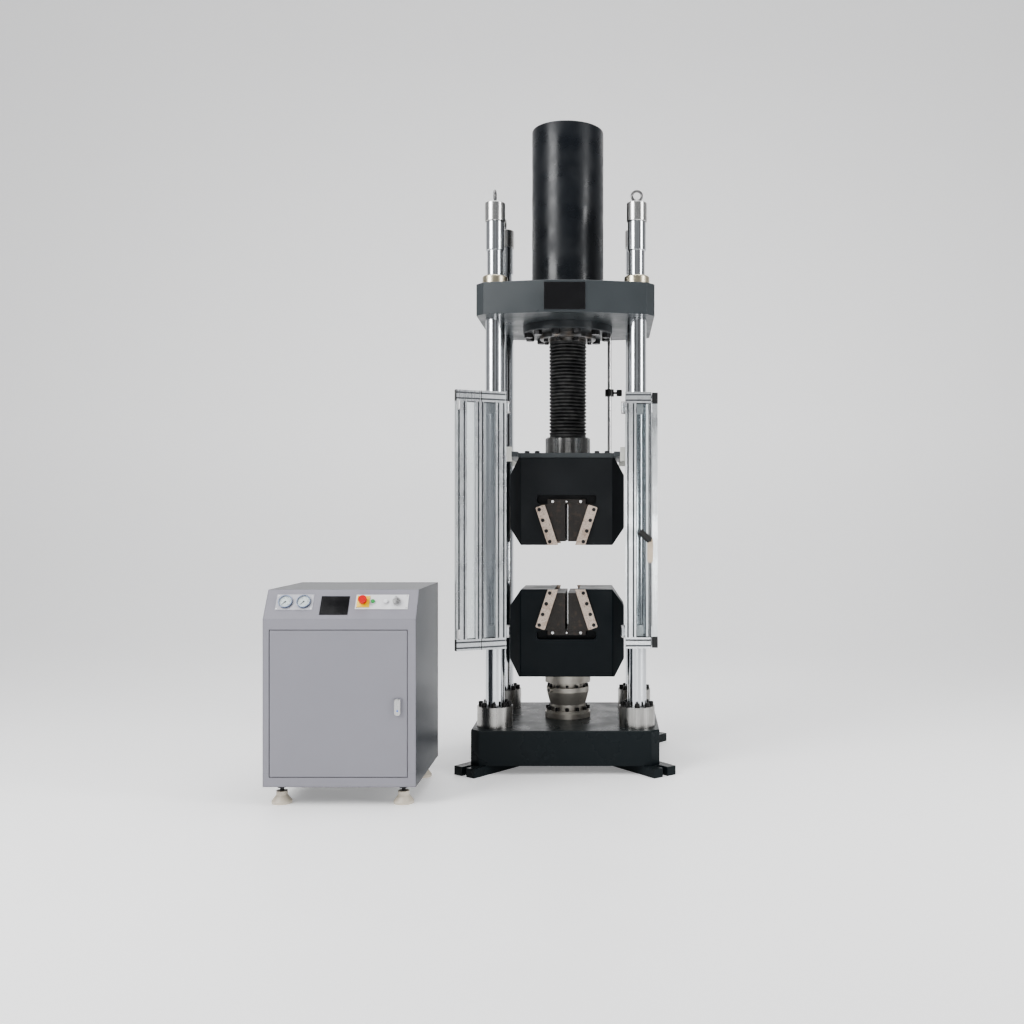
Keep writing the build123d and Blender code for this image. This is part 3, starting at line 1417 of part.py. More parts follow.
# Finned pump motor with its pump, on a foot on the tank lid
lid_level = floor_level + tank_height + tank_lid
motor_axis = lid_level + motor_foot_height + motor_diameter / 2
motor_left = cabinet_centre - tank_width / 2 + tank_lid_lap
with BuildPart() as pump_motor:
    with BuildSketch(Plane.YZ.offset(motor_left)):
        with Locations((tank_middle, motor_axis)):
            Circle(motor_diameter / 2 - motor_fin_depth)
            with PolarLocations(motor_diameter / 2 - motor_fin_depth, motor_fin_count):
                Rectangle(2 * motor_fin_depth, motor_fin_width)
    extrude(amount=motor_length)
    with BuildSketch(Plane.YZ.offset(motor_left + motor_length)):
        with Locations((tank_middle, motor_axis)):
            Circle(pump_diameter / 2)
    extrude(amount=pump_length)
    with BuildSketch(Plane.XY.offset(lid_level)):
        with Locations((motor_left + motor_length / 2, tank_middle)):
            Rectangle(motor_foot_length, motor_foot_width)
    extrude(until=Until.NEXT)
save(pump_motor.part, "pump_motor")

# Valve manifold on the tank lid
manifold_left = motor_left + motor_length + pump_length + tank_lid_lap
with BuildPart() as valve_manifold:
    with BuildSketch(Plane.XY.offset(lid_level)):
        with Locations((manifold_left + manifold_width / 2, tank_middle)):
            Rectangle(manifold_width, manifold_depth)
    extrude(amount=manifold_height)
    with BuildSketch(Plane.XY.offset(lid_level + manifold_height)):
        with Locations((manifold_left + manifold_width / 2, tank_middle)):
            with GridLocations(valve_spacing, 0, 2, 1):
                Circle(valve_diameter / 2)
    extrude(amount=valve_height)
save(valve_manifold.part, "valve_manifold")

# Hose ports at the rear of the cabinet and of the cylinder
barrel_ports = [crosshead_top + barrel_port_insets[0], barrel_top - barrel_port_insets[1]]
with BuildPart() as hose_ports:
    with BuildSketch(Plane.XZ.offset(-cabinet_back)):
        for place in ports:
            with Locations((place, port_level)):
                Circle(port_flange / 2)
    extrude(amount=-port_flange_thickness)
    with BuildSketch(Plane.XZ.offset(-cabinet_back)):
        for place in ports:
            with Locations((place, port_level)):
                Circle(port_diameter / 2)
    extrude(amount=-port_length)
    with BuildSketch(Plane.XZ):
        for level in barrel_ports:
            with Locations((0, level)):
                Circle(port_flange / 2)
    extrude(amount=-(barrel_diameter / 2 + port_length))
    with BuildSketch(Plane.XY.offset(crosshead_top)):
        Circle(barrel_diameter / 2)
    extrude(amount=barrel_height, mode=Mode.SUBTRACT)
    with BuildSketch(Plane.XZ.offset(-cabinet_back)):
        for place in ports:
            with Locations((place, port_level)):
                Circle(port_bore / 2)
    extrude(amount=-port_length, mode=Mode.SUBTRACT)
    with BuildSketch(Plane.XZ.offset(-barrel_diameter / 2)):
        for level in barrel_ports:
            with Locations((0, level)):
                Circle(port_bore / 2)
    extrude(amount=-port_length, mode=Mode.SUBTRACT)
save(hose_ports.part, "hose_ports")

print(len(written), "sub-parts written")
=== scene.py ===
"""Visual model of a hydraulic tensile testing machine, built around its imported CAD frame.

Every CAD node keeps its place and gets a procedural finish. Small trim and the flexible bellows are meshed
here.
All lengths are metres in the row frame: +X right, +Y to the back, +Z up along the load axis.
"""

import json
import logging
import math
from dataclasses import dataclass
from enum import Enum

import bmesh
import bpy
from mathutils import Matrix, Vector

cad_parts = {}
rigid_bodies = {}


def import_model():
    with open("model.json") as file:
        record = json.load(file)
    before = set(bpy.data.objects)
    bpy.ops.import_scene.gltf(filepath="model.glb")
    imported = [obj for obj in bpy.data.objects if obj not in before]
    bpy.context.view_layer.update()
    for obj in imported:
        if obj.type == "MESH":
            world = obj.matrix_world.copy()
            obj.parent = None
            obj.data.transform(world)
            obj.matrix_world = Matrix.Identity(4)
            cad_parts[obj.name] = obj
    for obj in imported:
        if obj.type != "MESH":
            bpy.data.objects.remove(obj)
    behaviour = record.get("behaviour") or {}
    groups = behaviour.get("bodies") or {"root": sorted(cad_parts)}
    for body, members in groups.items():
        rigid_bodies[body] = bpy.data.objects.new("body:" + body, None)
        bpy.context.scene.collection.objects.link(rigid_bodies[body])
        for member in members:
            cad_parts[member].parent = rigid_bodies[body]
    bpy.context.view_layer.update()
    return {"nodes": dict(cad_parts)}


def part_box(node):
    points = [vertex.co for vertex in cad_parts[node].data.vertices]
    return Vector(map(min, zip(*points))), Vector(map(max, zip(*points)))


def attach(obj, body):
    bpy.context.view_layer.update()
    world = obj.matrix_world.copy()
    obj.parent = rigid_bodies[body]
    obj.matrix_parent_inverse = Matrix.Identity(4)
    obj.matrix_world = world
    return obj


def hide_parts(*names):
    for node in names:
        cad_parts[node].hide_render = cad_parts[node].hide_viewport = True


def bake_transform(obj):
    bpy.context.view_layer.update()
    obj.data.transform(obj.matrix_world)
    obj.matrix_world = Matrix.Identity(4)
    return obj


LOG = logging.getLogger("tensile_machine")
Color = tuple[float, float, float]
Point = tuple[float, float, float]

DUST: Color = (0.42, 0.41, 0.39)
OILY_SOIL: Color = (0.12, 0.08, 0.05)
RUBBER_BLOOM: Color = (0.2, 0.2, 0.19)


class Axis(Enum):
    """A direction of the row frame."""

    X = 0
    Y = 1
    Z = 2


class Body(Enum):
    """CAD bodies that carry pieces made here."""

    FRAME = "root"
    HEAD = "actuator"
    UPPER_CARRIER = "upper_carrier"
    LOWER_CARRIER = "lower_carrier"
    RIGHT_INNER = "right_inner_leaf"
    RIGHT_OUTER = "right_outer_leaf"
    LEFT_INNER = "left_inner_leaf"
    LEFT_OUTER = "left_outer_leaf"
    LEVER = "door_lever"


# ---------------------------------------------------------------- finishes


class Shader:
    """Adds and links the shader nodes of one material."""

    def __init__(self, name: str) -> None:
        """Start a material with one Principled surface.

        Args:
            name: Material name.
        """
        self.material = bpy.data.materials.new(name)
        self.material.use_nodes = True
        self.tree = self.material.node_tree
        self.bsdf = self.tree.nodes["Principled BSDF"]
        self.object = self.tree.nodes.new("ShaderNodeTexCoord").outputs["Object"]

    def node(self, kind: str, **inputs: object) -> bpy.types.Node:
        """Add a node.

        Args:
            kind: Node type without its ShaderNode prefix.
            **inputs: Socket values or the sockets to link, by name with _ for spaces.

        Returns:
            The new node.
        """
        made = self.tree.nodes.new("ShaderNode" + kind)
        for name, value in inputs.items():
            self.put(made.inputs[name.replace("_", " ")], value)
        return made

    def put(self, socket: bpy.types.NodeSocket, value: object) -> None:
        """Link a socket, or set its constant.

        Args:
            socket: The input.
            value: A socket to link, or the constant.
        """
        if isinstance(value, bpy.types.NodeSocket):
            self.tree.links.new(value, socket)
        else:
            socket.default_value = value

    def math(self, operation: str, a: object, b: object = 0.0) -> bpy.types.NodeSocket:
        """Add a math node.

        Args:
            operation: Blender's name of the operation.
            a: First number or socket.
            b: Second number or socket.

        Returns:
            The result.
        """
        made = self.tree.nodes.new("ShaderNodeMath")
        made.operation = operation
        self.put(made.inputs[0], a)
        self.put(made.inputs[1], b)
        return made.outputs[0]

    def stretched(self, scale: Point, turn: Point = (0, 0, 0)) -> bpy.types.NodeSocket:
        """Turn object coordinates and then scale them along each axis.

        Args:
            scale: Factors along the axes.
            turn: Rotation about the axes, in radians.

        Returns:
            The coordinates.
        """
        made = self.node("Mapping", Vector=self.object)
        made.inputs["Rotation"].default_value = turn
        made.inputs["Scale"].default_value = scale
        return made.outputs[0]

    def noise(self, scale: float, detail: float = 3.0, vector: object = None) -> bpy.types.NodeSocket:
        """Add a noise texture.

        Args:
            scale: Noise scale, per metre.
            detail: Octaves.
            vector: Coordinates, or None for the object's.

        Returns:
            The noise, around 0.5.
        """
        made = self.node("TexNoise", Vector=vector or self.object, Scale=scale, Detail=detail)
        return made.outputs["Fac"]

    def span(
        self, value: object, low: float, high: float, start: float = 0.3, end: float = 0.7
    ) -> bpy.types.NodeSocket:
        """Map value from start..end to low..high.

        Args:
            value: The socket to map.
            low: Result at start.
            high: Result at end.
            start: Lower end of the value.
            end: Upper end of the value.

        Returns:
            The mapped value, held within low and high.
        """
        made = self.node("MapRange", Value=value)
        for name, number in (("From Min", start), ("From Max", end), ("To Min", low), ("To Max", high)):
            made.inputs[name].default_value = number
        return made.outputs[0]

    def blend(self, factor: object, a: object, b: object) -> bpy.types.NodeSocket:
        """Mix two colours by factor.

        Args:
            factor: Share of the second colour.
            a: First colour or socket.
            b: Second colour or socket.

        Returns:
            The mixed colour.
        """
        made = self.tree.nodes.new("ShaderNodeMix")
        made.data_type = "RGBA"
        self.put(made.inputs[0], factor)
        self.put(made.inputs[6], a if isinstance(a, bpy.types.NodeSocket) else (*a, 1))
        self.put(made.inputs[7], b if isinstance(b, bpy.types.NodeSocket) else (*b, 1))
        return made.outputs[2]

    def tint(self, share: object, color: object) -> None:
        """Blend a colour over the base colour so far, by share.

        Args:
            share: Share of the new colour.
            color: Colour or socket.
        """
        tone = self.bsdf.inputs["Base Color"]
        self.put(tone, self.blend(share, tone.links[0].from_socket, color))

    def shift(self, name: str, share: object, value: float) -> None:
        """Mix one of the surface's values so far with another value.

        Args:
            name: Input of the surface.
            share: Share of the new value.
            value: The new value.
        """
        socket = self.bsdf.inputs[name]
        mix = self.node("Mix", Factor=share)
        self.put(mix.inputs[2], socket.links[0].from_socket if socket.is_linked else socket.default_value)
        mix.inputs[3].default_value = value
        self.put(socket, mix.outputs[0])

    def facing(self, kind: str, axis: str) -> bpy.types.NodeSocket:
        """Read one component of the surface's normal.

        Args:
            kind: Normal or True Normal.
            axis: X, Y or Z.

        Returns:
            The component.
        """
        geometry = self.tree.nodes.new("ShaderNodeNewGeometry")
        return self.node("SeparateXYZ", Vector=geometry.outputs[kind]).outputs[axis]

    def bump(self, height: object, strength: float, distance: float) -> None:
        """Add height to the surface's normal, over any bump that is there already.

        Args:
            height: Height map.
            strength: Share of the effect.
            distance: Height of 1 in metres.
        """
        made = self.node("Bump", Height=height, Strength=strength, Distance=distance)
        socket = self.bsdf.inputs["Normal"]
        if socket.is_linked:
            self.put(made.inputs["Normal"], socket.links[0].from_socket)
        self.put(socket, made.outputs[0])

    def near_edges(self, radius: float) -> bpy.types.NodeSocket:
        """Find edges by comparing the rounded normal with the surface's own.

        Args:
            radius: Width of the band at an edge.

        Returns:
            0 on open faces, rising to 1 at edges.
        """
        bevel = self.node("Bevel", Radius=radius)
        bevel.samples = 4
        geometry = self.tree.nodes.new("ShaderNodeNewGeometry")
        dot = self.tree.nodes.new("ShaderNodeVectorMath")
        dot.operation = "DOT_PRODUCT"
        self.put(dot.inputs[0], bevel.outputs[0])
        self.put(dot.inputs[1], geometry.outputs["Normal"])
        return self.span(dot.outputs["Value"], 1.0, 0.0, 0.8, 0.995)


def placed(name: str, mesh: bpy.types.Mesh) -> bpy.types.Object:
    """Link a new object of a mesh to the scene.

    Args:
        name: Object name.
        mesh: Its mesh.

    Returns:
        The new object.
    """
    made = bpy.data.objects.new(name, mesh)
    bpy.context.scene.collection.objects.link(made)
    return made


def scaled(color: Color, factor: float) -> Color:
    """Return color brightened or darkened by factor."""
    return tuple(min(1.0, c * factor) for c in color)


@dataclass(frozen=True)
class Finish:
    """A plain finish: soft tone drift, smudged gloss, painted highlights on the edges and shaded edge
    rounding.

    Args:
        name: Material name.
        color: Base colour.
        roughness: Mean roughness.
        metallic: Metal share.
        drift: Tone drift of broad patches.
        smudge: Roughness change of handled patches.
        edge: Brightness of the painted edge highlight against the faces.
        round_edges: Radius of the shaded edge rounding.
    """

    name: str
    color: Color
    roughness: float = 0.4
    metallic: float = 0.0
    drift: float = 0.12
    smudge: float = 0.08
    edge: float = 1.25
    round_edges: float = 0.0012

    def build(self) -> bpy.types.Material:
        """Build the node material.

        Returns:
            The material.
        """
        shader = Shader(self.name)
        broad = shader.noise(4.0, 4.0)
        tone = shader.blend(broad, scaled(self.color, 1 - self.drift), scaled(self.color, 1 + self.drift))
        # Painted highlight: the edges are lightened by the edge factor, as if they caught the light.
        if self.edge != 1.0:
            tone = shader.blend(shader.near_edges(0.002), tone, scaled(self.color, self.edge))
        shader.put(shader.bsdf.inputs["Base Color"], tone)
        shader.put(shader.bsdf.inputs["Metallic"], self.metallic)
        smudges = shader.noise(9.0, 5.0)
        low, high = max(0.02, self.roughness - self.smudge), self.roughness + self.smudge
        shader.put(shader.bsdf.inputs["Roughness"], shader.span(smudges, low, high))
        if self.round_edges:
            bevel = shader.node("Bevel", Radius=self.round_edges)
            bevel.samples = 4
            shader.put(shader.bsdf.inputs["Normal"], bevel.outputs[0])
        self.detail(shader)
        return shader.material

    def detail(self, shader: Shader) -> None:
        """Add what sets this kind of finish apart.

        Args:
            shader: The material in the making.
        """


@dataclass(frozen=True)
class Paint(Finish):
    """Sprayed paint: fine orange peel, faint dust on upward faces and an optional clear coat."""

    peel: float = 0.12
    peel_scale: float = 420.0
    coat: float = 0.0
    dust: float = 0.15
    shine: float = 0.5

    def detail(self, shader: Shader) -> None:
        """Add orange peel, dust and coat.

        Args:
            shader: The material in the making.
        """
        shader.bump(shader.noise(self.peel_scale, 2.0), self.peel, 0.0006)
        shader.bsdf.inputs["Specular IOR Level"].default_value = self.shine
        shader.bsdf.inputs["Coat Weight"].default_value = self.coat
        shader.bsdf.inputs["Coat Roughness"].default_value = 0.06
        if self.dust:
            up = shader.span(shader.facing("Normal", "Z"), 0.0, self.dust, 0.7, 1.0)
            veil = shader.math("MULTIPLY", up, shader.span(shader.noise(14.0, 6.0), 0.2, 1.0))
            shader.tint(veil, DUST)


@dataclass(frozen=True)
class Powder(Paint):
    """Textured cabinet enamel with a fine two-tone fleck."""

    fleck: float = 0.06
    fleck_scale: float = 900.0

    def detail(self, shader: Shader) -> None:
        """Add flecks to the paint's peel.

        Args:
            shader: The material in the making.
        """
        super().detail(shader)
        flecks = shader.node("TexVoronoi", Vector=shader.object, Scale=self.fleck_scale)
        share = shader.span(flecks.outputs["Distance"], self.fleck, 0.0, 0.1, 0.5)
        shader.tint(share, scaled(self.color, 1.5))


@dataclass(frozen=True)
class CabinetSkin(Powder):
    """Cabinet enamel: lavender grey towards the front, with painted shade and higher gloss on the sides and
    the top.
    """

    side_color: Color = (0.05, 0.054, 0.06)
    side_roughness: float = 0.28

    def detail(self, shader: Shader) -> None:
        """Mix in the painted shade and the higher gloss on faces that do not look to the front.

        Args:
            shader: The material in the making.
        """
        super().detail(shader)
        # Painted shade: faces turned away from the front take the dark side tone.
        forward = shader.math("MULTIPLY", shader.facing("True Normal", "Y"), -1.0)
        side = shader.span(forward, 1.0, 0.0, 0.2, 0.3)
        shader.tint(side, self.side_color)
        shader.shift("Roughness", side, self.side_roughness)


@dataclass(frozen=True)
class Zoned(Finish):
    """A finish with a second tone past a level on one axis.

    Args:
        along: The axis.
        level: Where the second tone starts.
        other: Its colour.
        other_roughness: Its roughness.
        other_metallic: Its metal share.
    """

    along: Axis = Axis.Z
    level: float = 0.0
    other: Color = (0.5, 0.5, 0.5)
    other_roughness: float = 0.4
    other_metallic: float = 0.0

    def detail(self, shader: Shader) -> None:
        """Mix the two tones at the level and add fine grain.

        Args:
            shader: The material in the making.
        """
        split = shader.node("SeparateXYZ", Vector=shader.object)
        past = shader.math("GREATER_THAN", split.outputs[self.along.value], self.level)
        grime = shader.blend(shader.noise(25.0, 5.0), scaled(self.other, 0.82), scaled(self.other, 1.15))
        shader.tint(past, grime)
        shader.shift("Roughness", past, self.other_roughness)
        shader.shift("Metallic", past, self.other_metallic)
        shader.bump(shader.noise(600.0, 2.0), 0.12, 0.0004)


@dataclass(frozen=True)
class Brushed(Finish):
    """Metal ground or drawn along one axis: long fine lines in tone, gloss and height."""

    along: Axis = Axis.Z
    lines: float = 0.25
    fine: float = 700.0
    relief: float = 0.12

    def detail(self, shader: Shader) -> None:
        """Add the lines.

        Args:
            shader: The material in the making.
        """
        scale = [self.fine] * 3
        scale[self.along.value] = self.fine / 90
        grain = shader.noise(1.0, 3.0, shader.stretched(tuple(scale)))
        shader.tint(shader.span(grain, self.lines, 0.0), scaled(self.color, 0.45))
        gloss = shader.bsdf.inputs["Roughness"]
        shader.put(gloss, shader.math("ADD", gloss.links[0].from_socket, shader.span(grain, -0.06, 0.08)))
        shader.bump(grain, self.relief, 0.0004)


@dataclass(frozen=True)
class Turned(Finish):
    """Lathe-turned metal: rings round Z."""

    pitch: float = 950.0
    rings: float = 0.22
    soil: float = 0.0

    def detail(self, shader: Shader) -> None:
        """Add turning rings along Z and, if wanted, oily soil.

        Args:
            shader: The material in the making.
        """
        rings = shader.noise(1.0, 2.0, shader.stretched((6.0, 6.0, self.pitch)))
        shader.tint(shader.span(rings, self.rings, 0.0), scaled(self.color, 0.5))
        if self.soil:
            stains = shader.span(shader.noise(16.0, 8.0), self.soil, 0.0, 0.35, 0.55)
            shader.tint(stains, OILY_SOIL)
        shader.bump(rings, 0.15, 0.0005)


@dataclass(frozen=True)
class Speckled(Finish):
    """Pitted, worn steel with dark specks, as on the jaw rails and jaws."""

    specks: float = 0.6
    speck_scale: float = 260.0
    rust: Color = (0.2, 0.12, 0.08)

    def detail(self, shader: Shader) -> None:
        """Add specks, stains and a pitted surface.

        Args:
            shader: The material in the making.
        """
        spots = shader.noise(self.speck_scale, 6.0)
        shader.tint(shader.span(spots, self.specks, 0.0, 0.36, 0.5), scaled(self.color, 0.35))
        stains = shader.span(shader.noise(38.0, 6.0), 0.0, 0.4, 0.52, 0.7)
        shader.tint(stains, self.rust)
        shader.bump(spots, 0.35, 0.0006)


@dataclass(frozen=True)
class Moulded(Finish):
    """Moulded plastic or rubber: fine matt grain, light scuffs and optional bloom."""

    grain: float = 0.25
    grain_scale: float = 900.0
    bloom: float = 0.0

    def detail(self, shader: Shader) -> None:
        """Add grain, scuffs and bloom.

        Args:
            shader: The material in the making.
        """
        shader.bump(shader.noise(self.grain_scale, 2.0), self.grain, 0.0004)
        if self.bloom:
            shader.tint(shader.span(shader.noise(30.0, 7.0), 0.0, self.bloom, 0.4, 0.75), RUBBER_BLOOM)


@dataclass(frozen=True)
class Clear(Finish):
    """Clear sheet: a thin see-through pane with faint smears."""

    veil: float = 0.16

    def detail(self, shader: Shader) -> None:
        """Mix a glossy pane with straight transparency.

        Args:
            shader: The material in the making.
        """
        glass = shader.bsdf
        clear = shader.node("BsdfTransparent", Color=(0.93, 0.955, 0.96, 1))
        fresnel = shader.node("LayerWeight", Blend=0.25)
        smears = shader.span(shader.noise(1.0, 5.0, shader.stretched((6.0, 6.0, 1.2))), 0.02, self.veil)
        share = shader.math("ADD", smears, shader.math("MULTIPLY", fresnel.outputs["Facing"], 0.45))
        mix = shader.node("MixShader", Fac=share)
        shader.put(mix.inputs[1], clear.outputs[0])
        shader.put(mix.inputs[2], glass.outputs[0])
        shader.put(shader.tree.nodes["Material Output"].inputs["Surface"], mix.outputs[0])


# The edge factor of each finish below sets the painted highlight on its edges.
DARK_PAINT = Paint("base_dark_paint", (0.007, 0.011, 0.013), 0.3, peel=0.04, dust=0.04, edge=1.6, shine=0.16)
HEAD_PAINT = Paint(
    "head_black_paint", (0.0115, 0.0135, 0.0155), 0.4, edge=2.6, peel=0.06, dust=0.03,
    shine=0.18,
)
LOWER_PAINT = Paint(
    "lower_head_blue_black", (0.005, 0.0085, 0.011), 0.36, edge=2.8, peel=0.06, dust=0.03,
    shine=0.14,
)
CROSSHEAD_PAINT = Paint("crosshead_grey_paint", (0.045, 0.052, 0.056), 0.34, peel=0.08, dust=0.1, shine=0.4)
CYLINDER_PAINT = Paint(
    "cylinder_gloss_paint", (0.006, 0.008, 0.011), 0.33, peel=0.04, dust=0.05, edge=1.6,
    smudge=0.14, drift=0.5, shine=0.42,
)
FLANGE_PAINT = Paint("flange_grey_paint", (0.028, 0.032, 0.035), 0.36, dust=0.04)
GLAND_STEEL = Turned("gland_dark_steel", (0.2, 0.2, 0.2), 0.35, 1.0, soil=0.6)
# The cabinet shell's sides and top carry painted shade.
CABINET_PAINT = CabinetSkin(
    "cabinet_lavender_enamel", (0.255, 0.252, 0.28), 0.42, drift=0.04, edge=1.1, round_edges=0.006,
    peel=0.1, dust=0.0, shine=0.08,
)
DOOR_PAINT = Powder(
    "door_lavender_enamel", (0.24, 0.238, 0.265), 0.42, drift=0.04, edge=1.1, peel=0.1, dust=0.0,
    shine=0.3,
)
CHROME = Brushed(
    "column_hard_chrome", (0.6, 0.62, 0.64), 0.12, 1.0, drift=0.05, smudge=0.03, along=Axis.X,
    lines=0.04, fine=300.0, relief=0.008,
)
EYE_STEEL = Finish("eye_forged_steel", (0.2, 0.2, 0.2), 0.3, 1.0, edge=1.5)
BRIGHT = Brushed("bright_steel", (0.55, 0.55, 0.55), 0.26, 1.0, lines=0.2)
FLANGE_STEEL = Turned("rod_flange_steel", (0.24, 0.24, 0.235), 0.22, 1.0, rings=0.3)
COLLAR_STEEL = Brushed("collar_steel", (0.42, 0.415, 0.4), 0.3, 1.0, drift=0.05, lines=0.6, fine=320.0)
CELL_STEEL = Turned("load_cell_steel", (0.46, 0.44, 0.4), 0.42, 0.8, soil=0.25)
BRASSY = Zoned(
    "lock_ring_plated", (0.5, 0.46, 0.36), 0.3, 1.0, along=Axis.Z, level=2.4,
    other=(0.58, 0.58, 0.57), other_roughness=0.24, other_metallic=1.0,
)
ALUMINIUM = Brushed(
    "anodised_profile", (0.6, 0.62, 0.635), 0.28, 1.0, drift=0.05, lines=0.06, fine=900.0,
    relief=0.03,
)
SLOT_SHADE = Finish("profile_slot_shade", (0.11, 0.115, 0.12), 0.5, 0.5, edge=1.0, round_edges=0.0)
RAIL = Speckled("rail_ground_steel", (0.5, 0.42, 0.36), 0.45, 0.75, specks=0.75)
JAW = Speckled("jaw_tool_steel", (0.034, 0.031, 0.029), 0.46, 0.6, specks=0.5, rust=(0.09, 0.06, 0.045))
BLACK_OXIDE = Finish("black_oxide_screw", (0.014, 0.014, 0.014), 0.38, 0.5, edge=2.2)
DARK_STEEL = Finish("dark_steel", (0.06, 0.06, 0.062), 0.35, 0.9, edge=2.0)
PLATE_BLACK = Paint("plain_black_plate", (0.006, 0.006, 0.007), 0.2, peel=0.06, coat=0.4, dust=0.0)
RUBBER = Moulded("bellows_rubber", (0.012, 0.012, 0.013), 0.52, drift=0.3, bloom=0.25, edge=1.6)
BLACK_PLASTIC = Moulded("black_plastic", (0.015, 0.015, 0.016), 0.45)
PAD_PLASTIC = Moulded("pad_light_nylon", (0.62, 0.62, 0.58), 0.5, bloom=0.15)
FOOT = Zoned(
    "levelling_foot", (0.55, 0.5, 0.42), 0.4, along=Axis.Z, level=0.05, other=(0.02, 0.02, 0.02),
    other_roughness=0.35, other_metallic=0.6,
)
HANDLE = Zoned(
    "handle_black_grip", (0.012, 0.012, 0.012), 0.4, along=Axis.Y, level=-0.3465,
    other=(0.5, 0.42, 0.33), other_roughness=0.4,
)
WHITE_PLASTIC = Moulded("white_plastic", (0.75, 0.76, 0.78), 0.3, grain=0.08)
RED_PLASTIC = Moulded("stop_red_plastic", (0.55, 0.02, 0.015), 0.25, grain=0.06)
YELLOW_PLASTIC = Moulded("stop_yellow_plate", (0.75, 0.5, 0.03), 0.4, grain=0.08)
GREEN_PLASTIC = Moulded("green_plastic", (0.04, 0.3, 0.08), 0.25, grain=0.06)
BLUE_PLASTIC = Moulded("blue_plastic", (0.02, 0.12, 0.5), 0.25, grain=0.06)
LIGHT_CASTING = Speckled(
    "light_casting", (0.55, 0.55, 0.55), 0.45, 0.8, specks=0.25, speck_scale=500.0,
    rust=(0.4, 0.4, 0.4),
)
PANEL = Zoned(
    "panel_plates", (0.4, 0.4, 0.43), 0.4, 0.1, along=Axis.X, level=-0.9,
    other=(0.66, 0.66, 0.68), other_roughness=0.35, other_metallic=0.1,
)
BEZEL = Turned("gauge_bezel_blue_steel", (0.17, 0.2, 0.27), 0.25, 1.0, rings=0.1)
DIAL = Moulded("gauge_dial_white", (0.8, 0.8, 0.78), 0.5, drift=0.03, grain=0.03, edge=1.0, round_edges=0.0)
INK = Finish("dial_ink", (0.02, 0.02, 0.02), 0.5, edge=1.0, round_edges=0.0)
TANK_PAINT = Paint("tank_blue_grey", (0.1, 0.14, 0.18), 0.4)
MOTOR_PAINT = Paint("motor_blue_enamel", (0.04, 0.09, 0.2), 0.35)
WINDOW = Clear("guard_clear_sheet", (0.3, 0.32, 0.34), 0.08, drift=0.02, edge=1.0, round_edges=0.0)
TINTED_WINDOW = Clear(
    "guard_tinted_sheet", (0.19, 0.205, 0.22), 0.14, drift=0.25, edge=1.0, round_edges=0.0,
    veil=0.85,
)
PALE_WINDOW = Clear(
    "guard_pale_sheet", (0.75, 0.77, 0.78), 0.12, drift=0.02, edge=1.0, round_edges=0.0,
    veil=0.6,
)
LENS = Clear("gauge_lens", (0.8, 0.82, 0.85), 0.04, drift=0.0, edge=1.0, round_edges=0.0, veil=0.05)


# ---------------------------------------------------------------- meshing


def upright(direction: Vector, origin: Vector) -> Matrix:
    """Make the matrix that turns +Z to a direction and then moves to a point.

    Args:
        direction: Where +Z goes.
        origin: Where the origin goes.

    Returns:
        The matrix.
    """
    return Matrix.Translation(origin) @ direction.to_track_quat("Z", "Y").to_matrix().to_4x4()


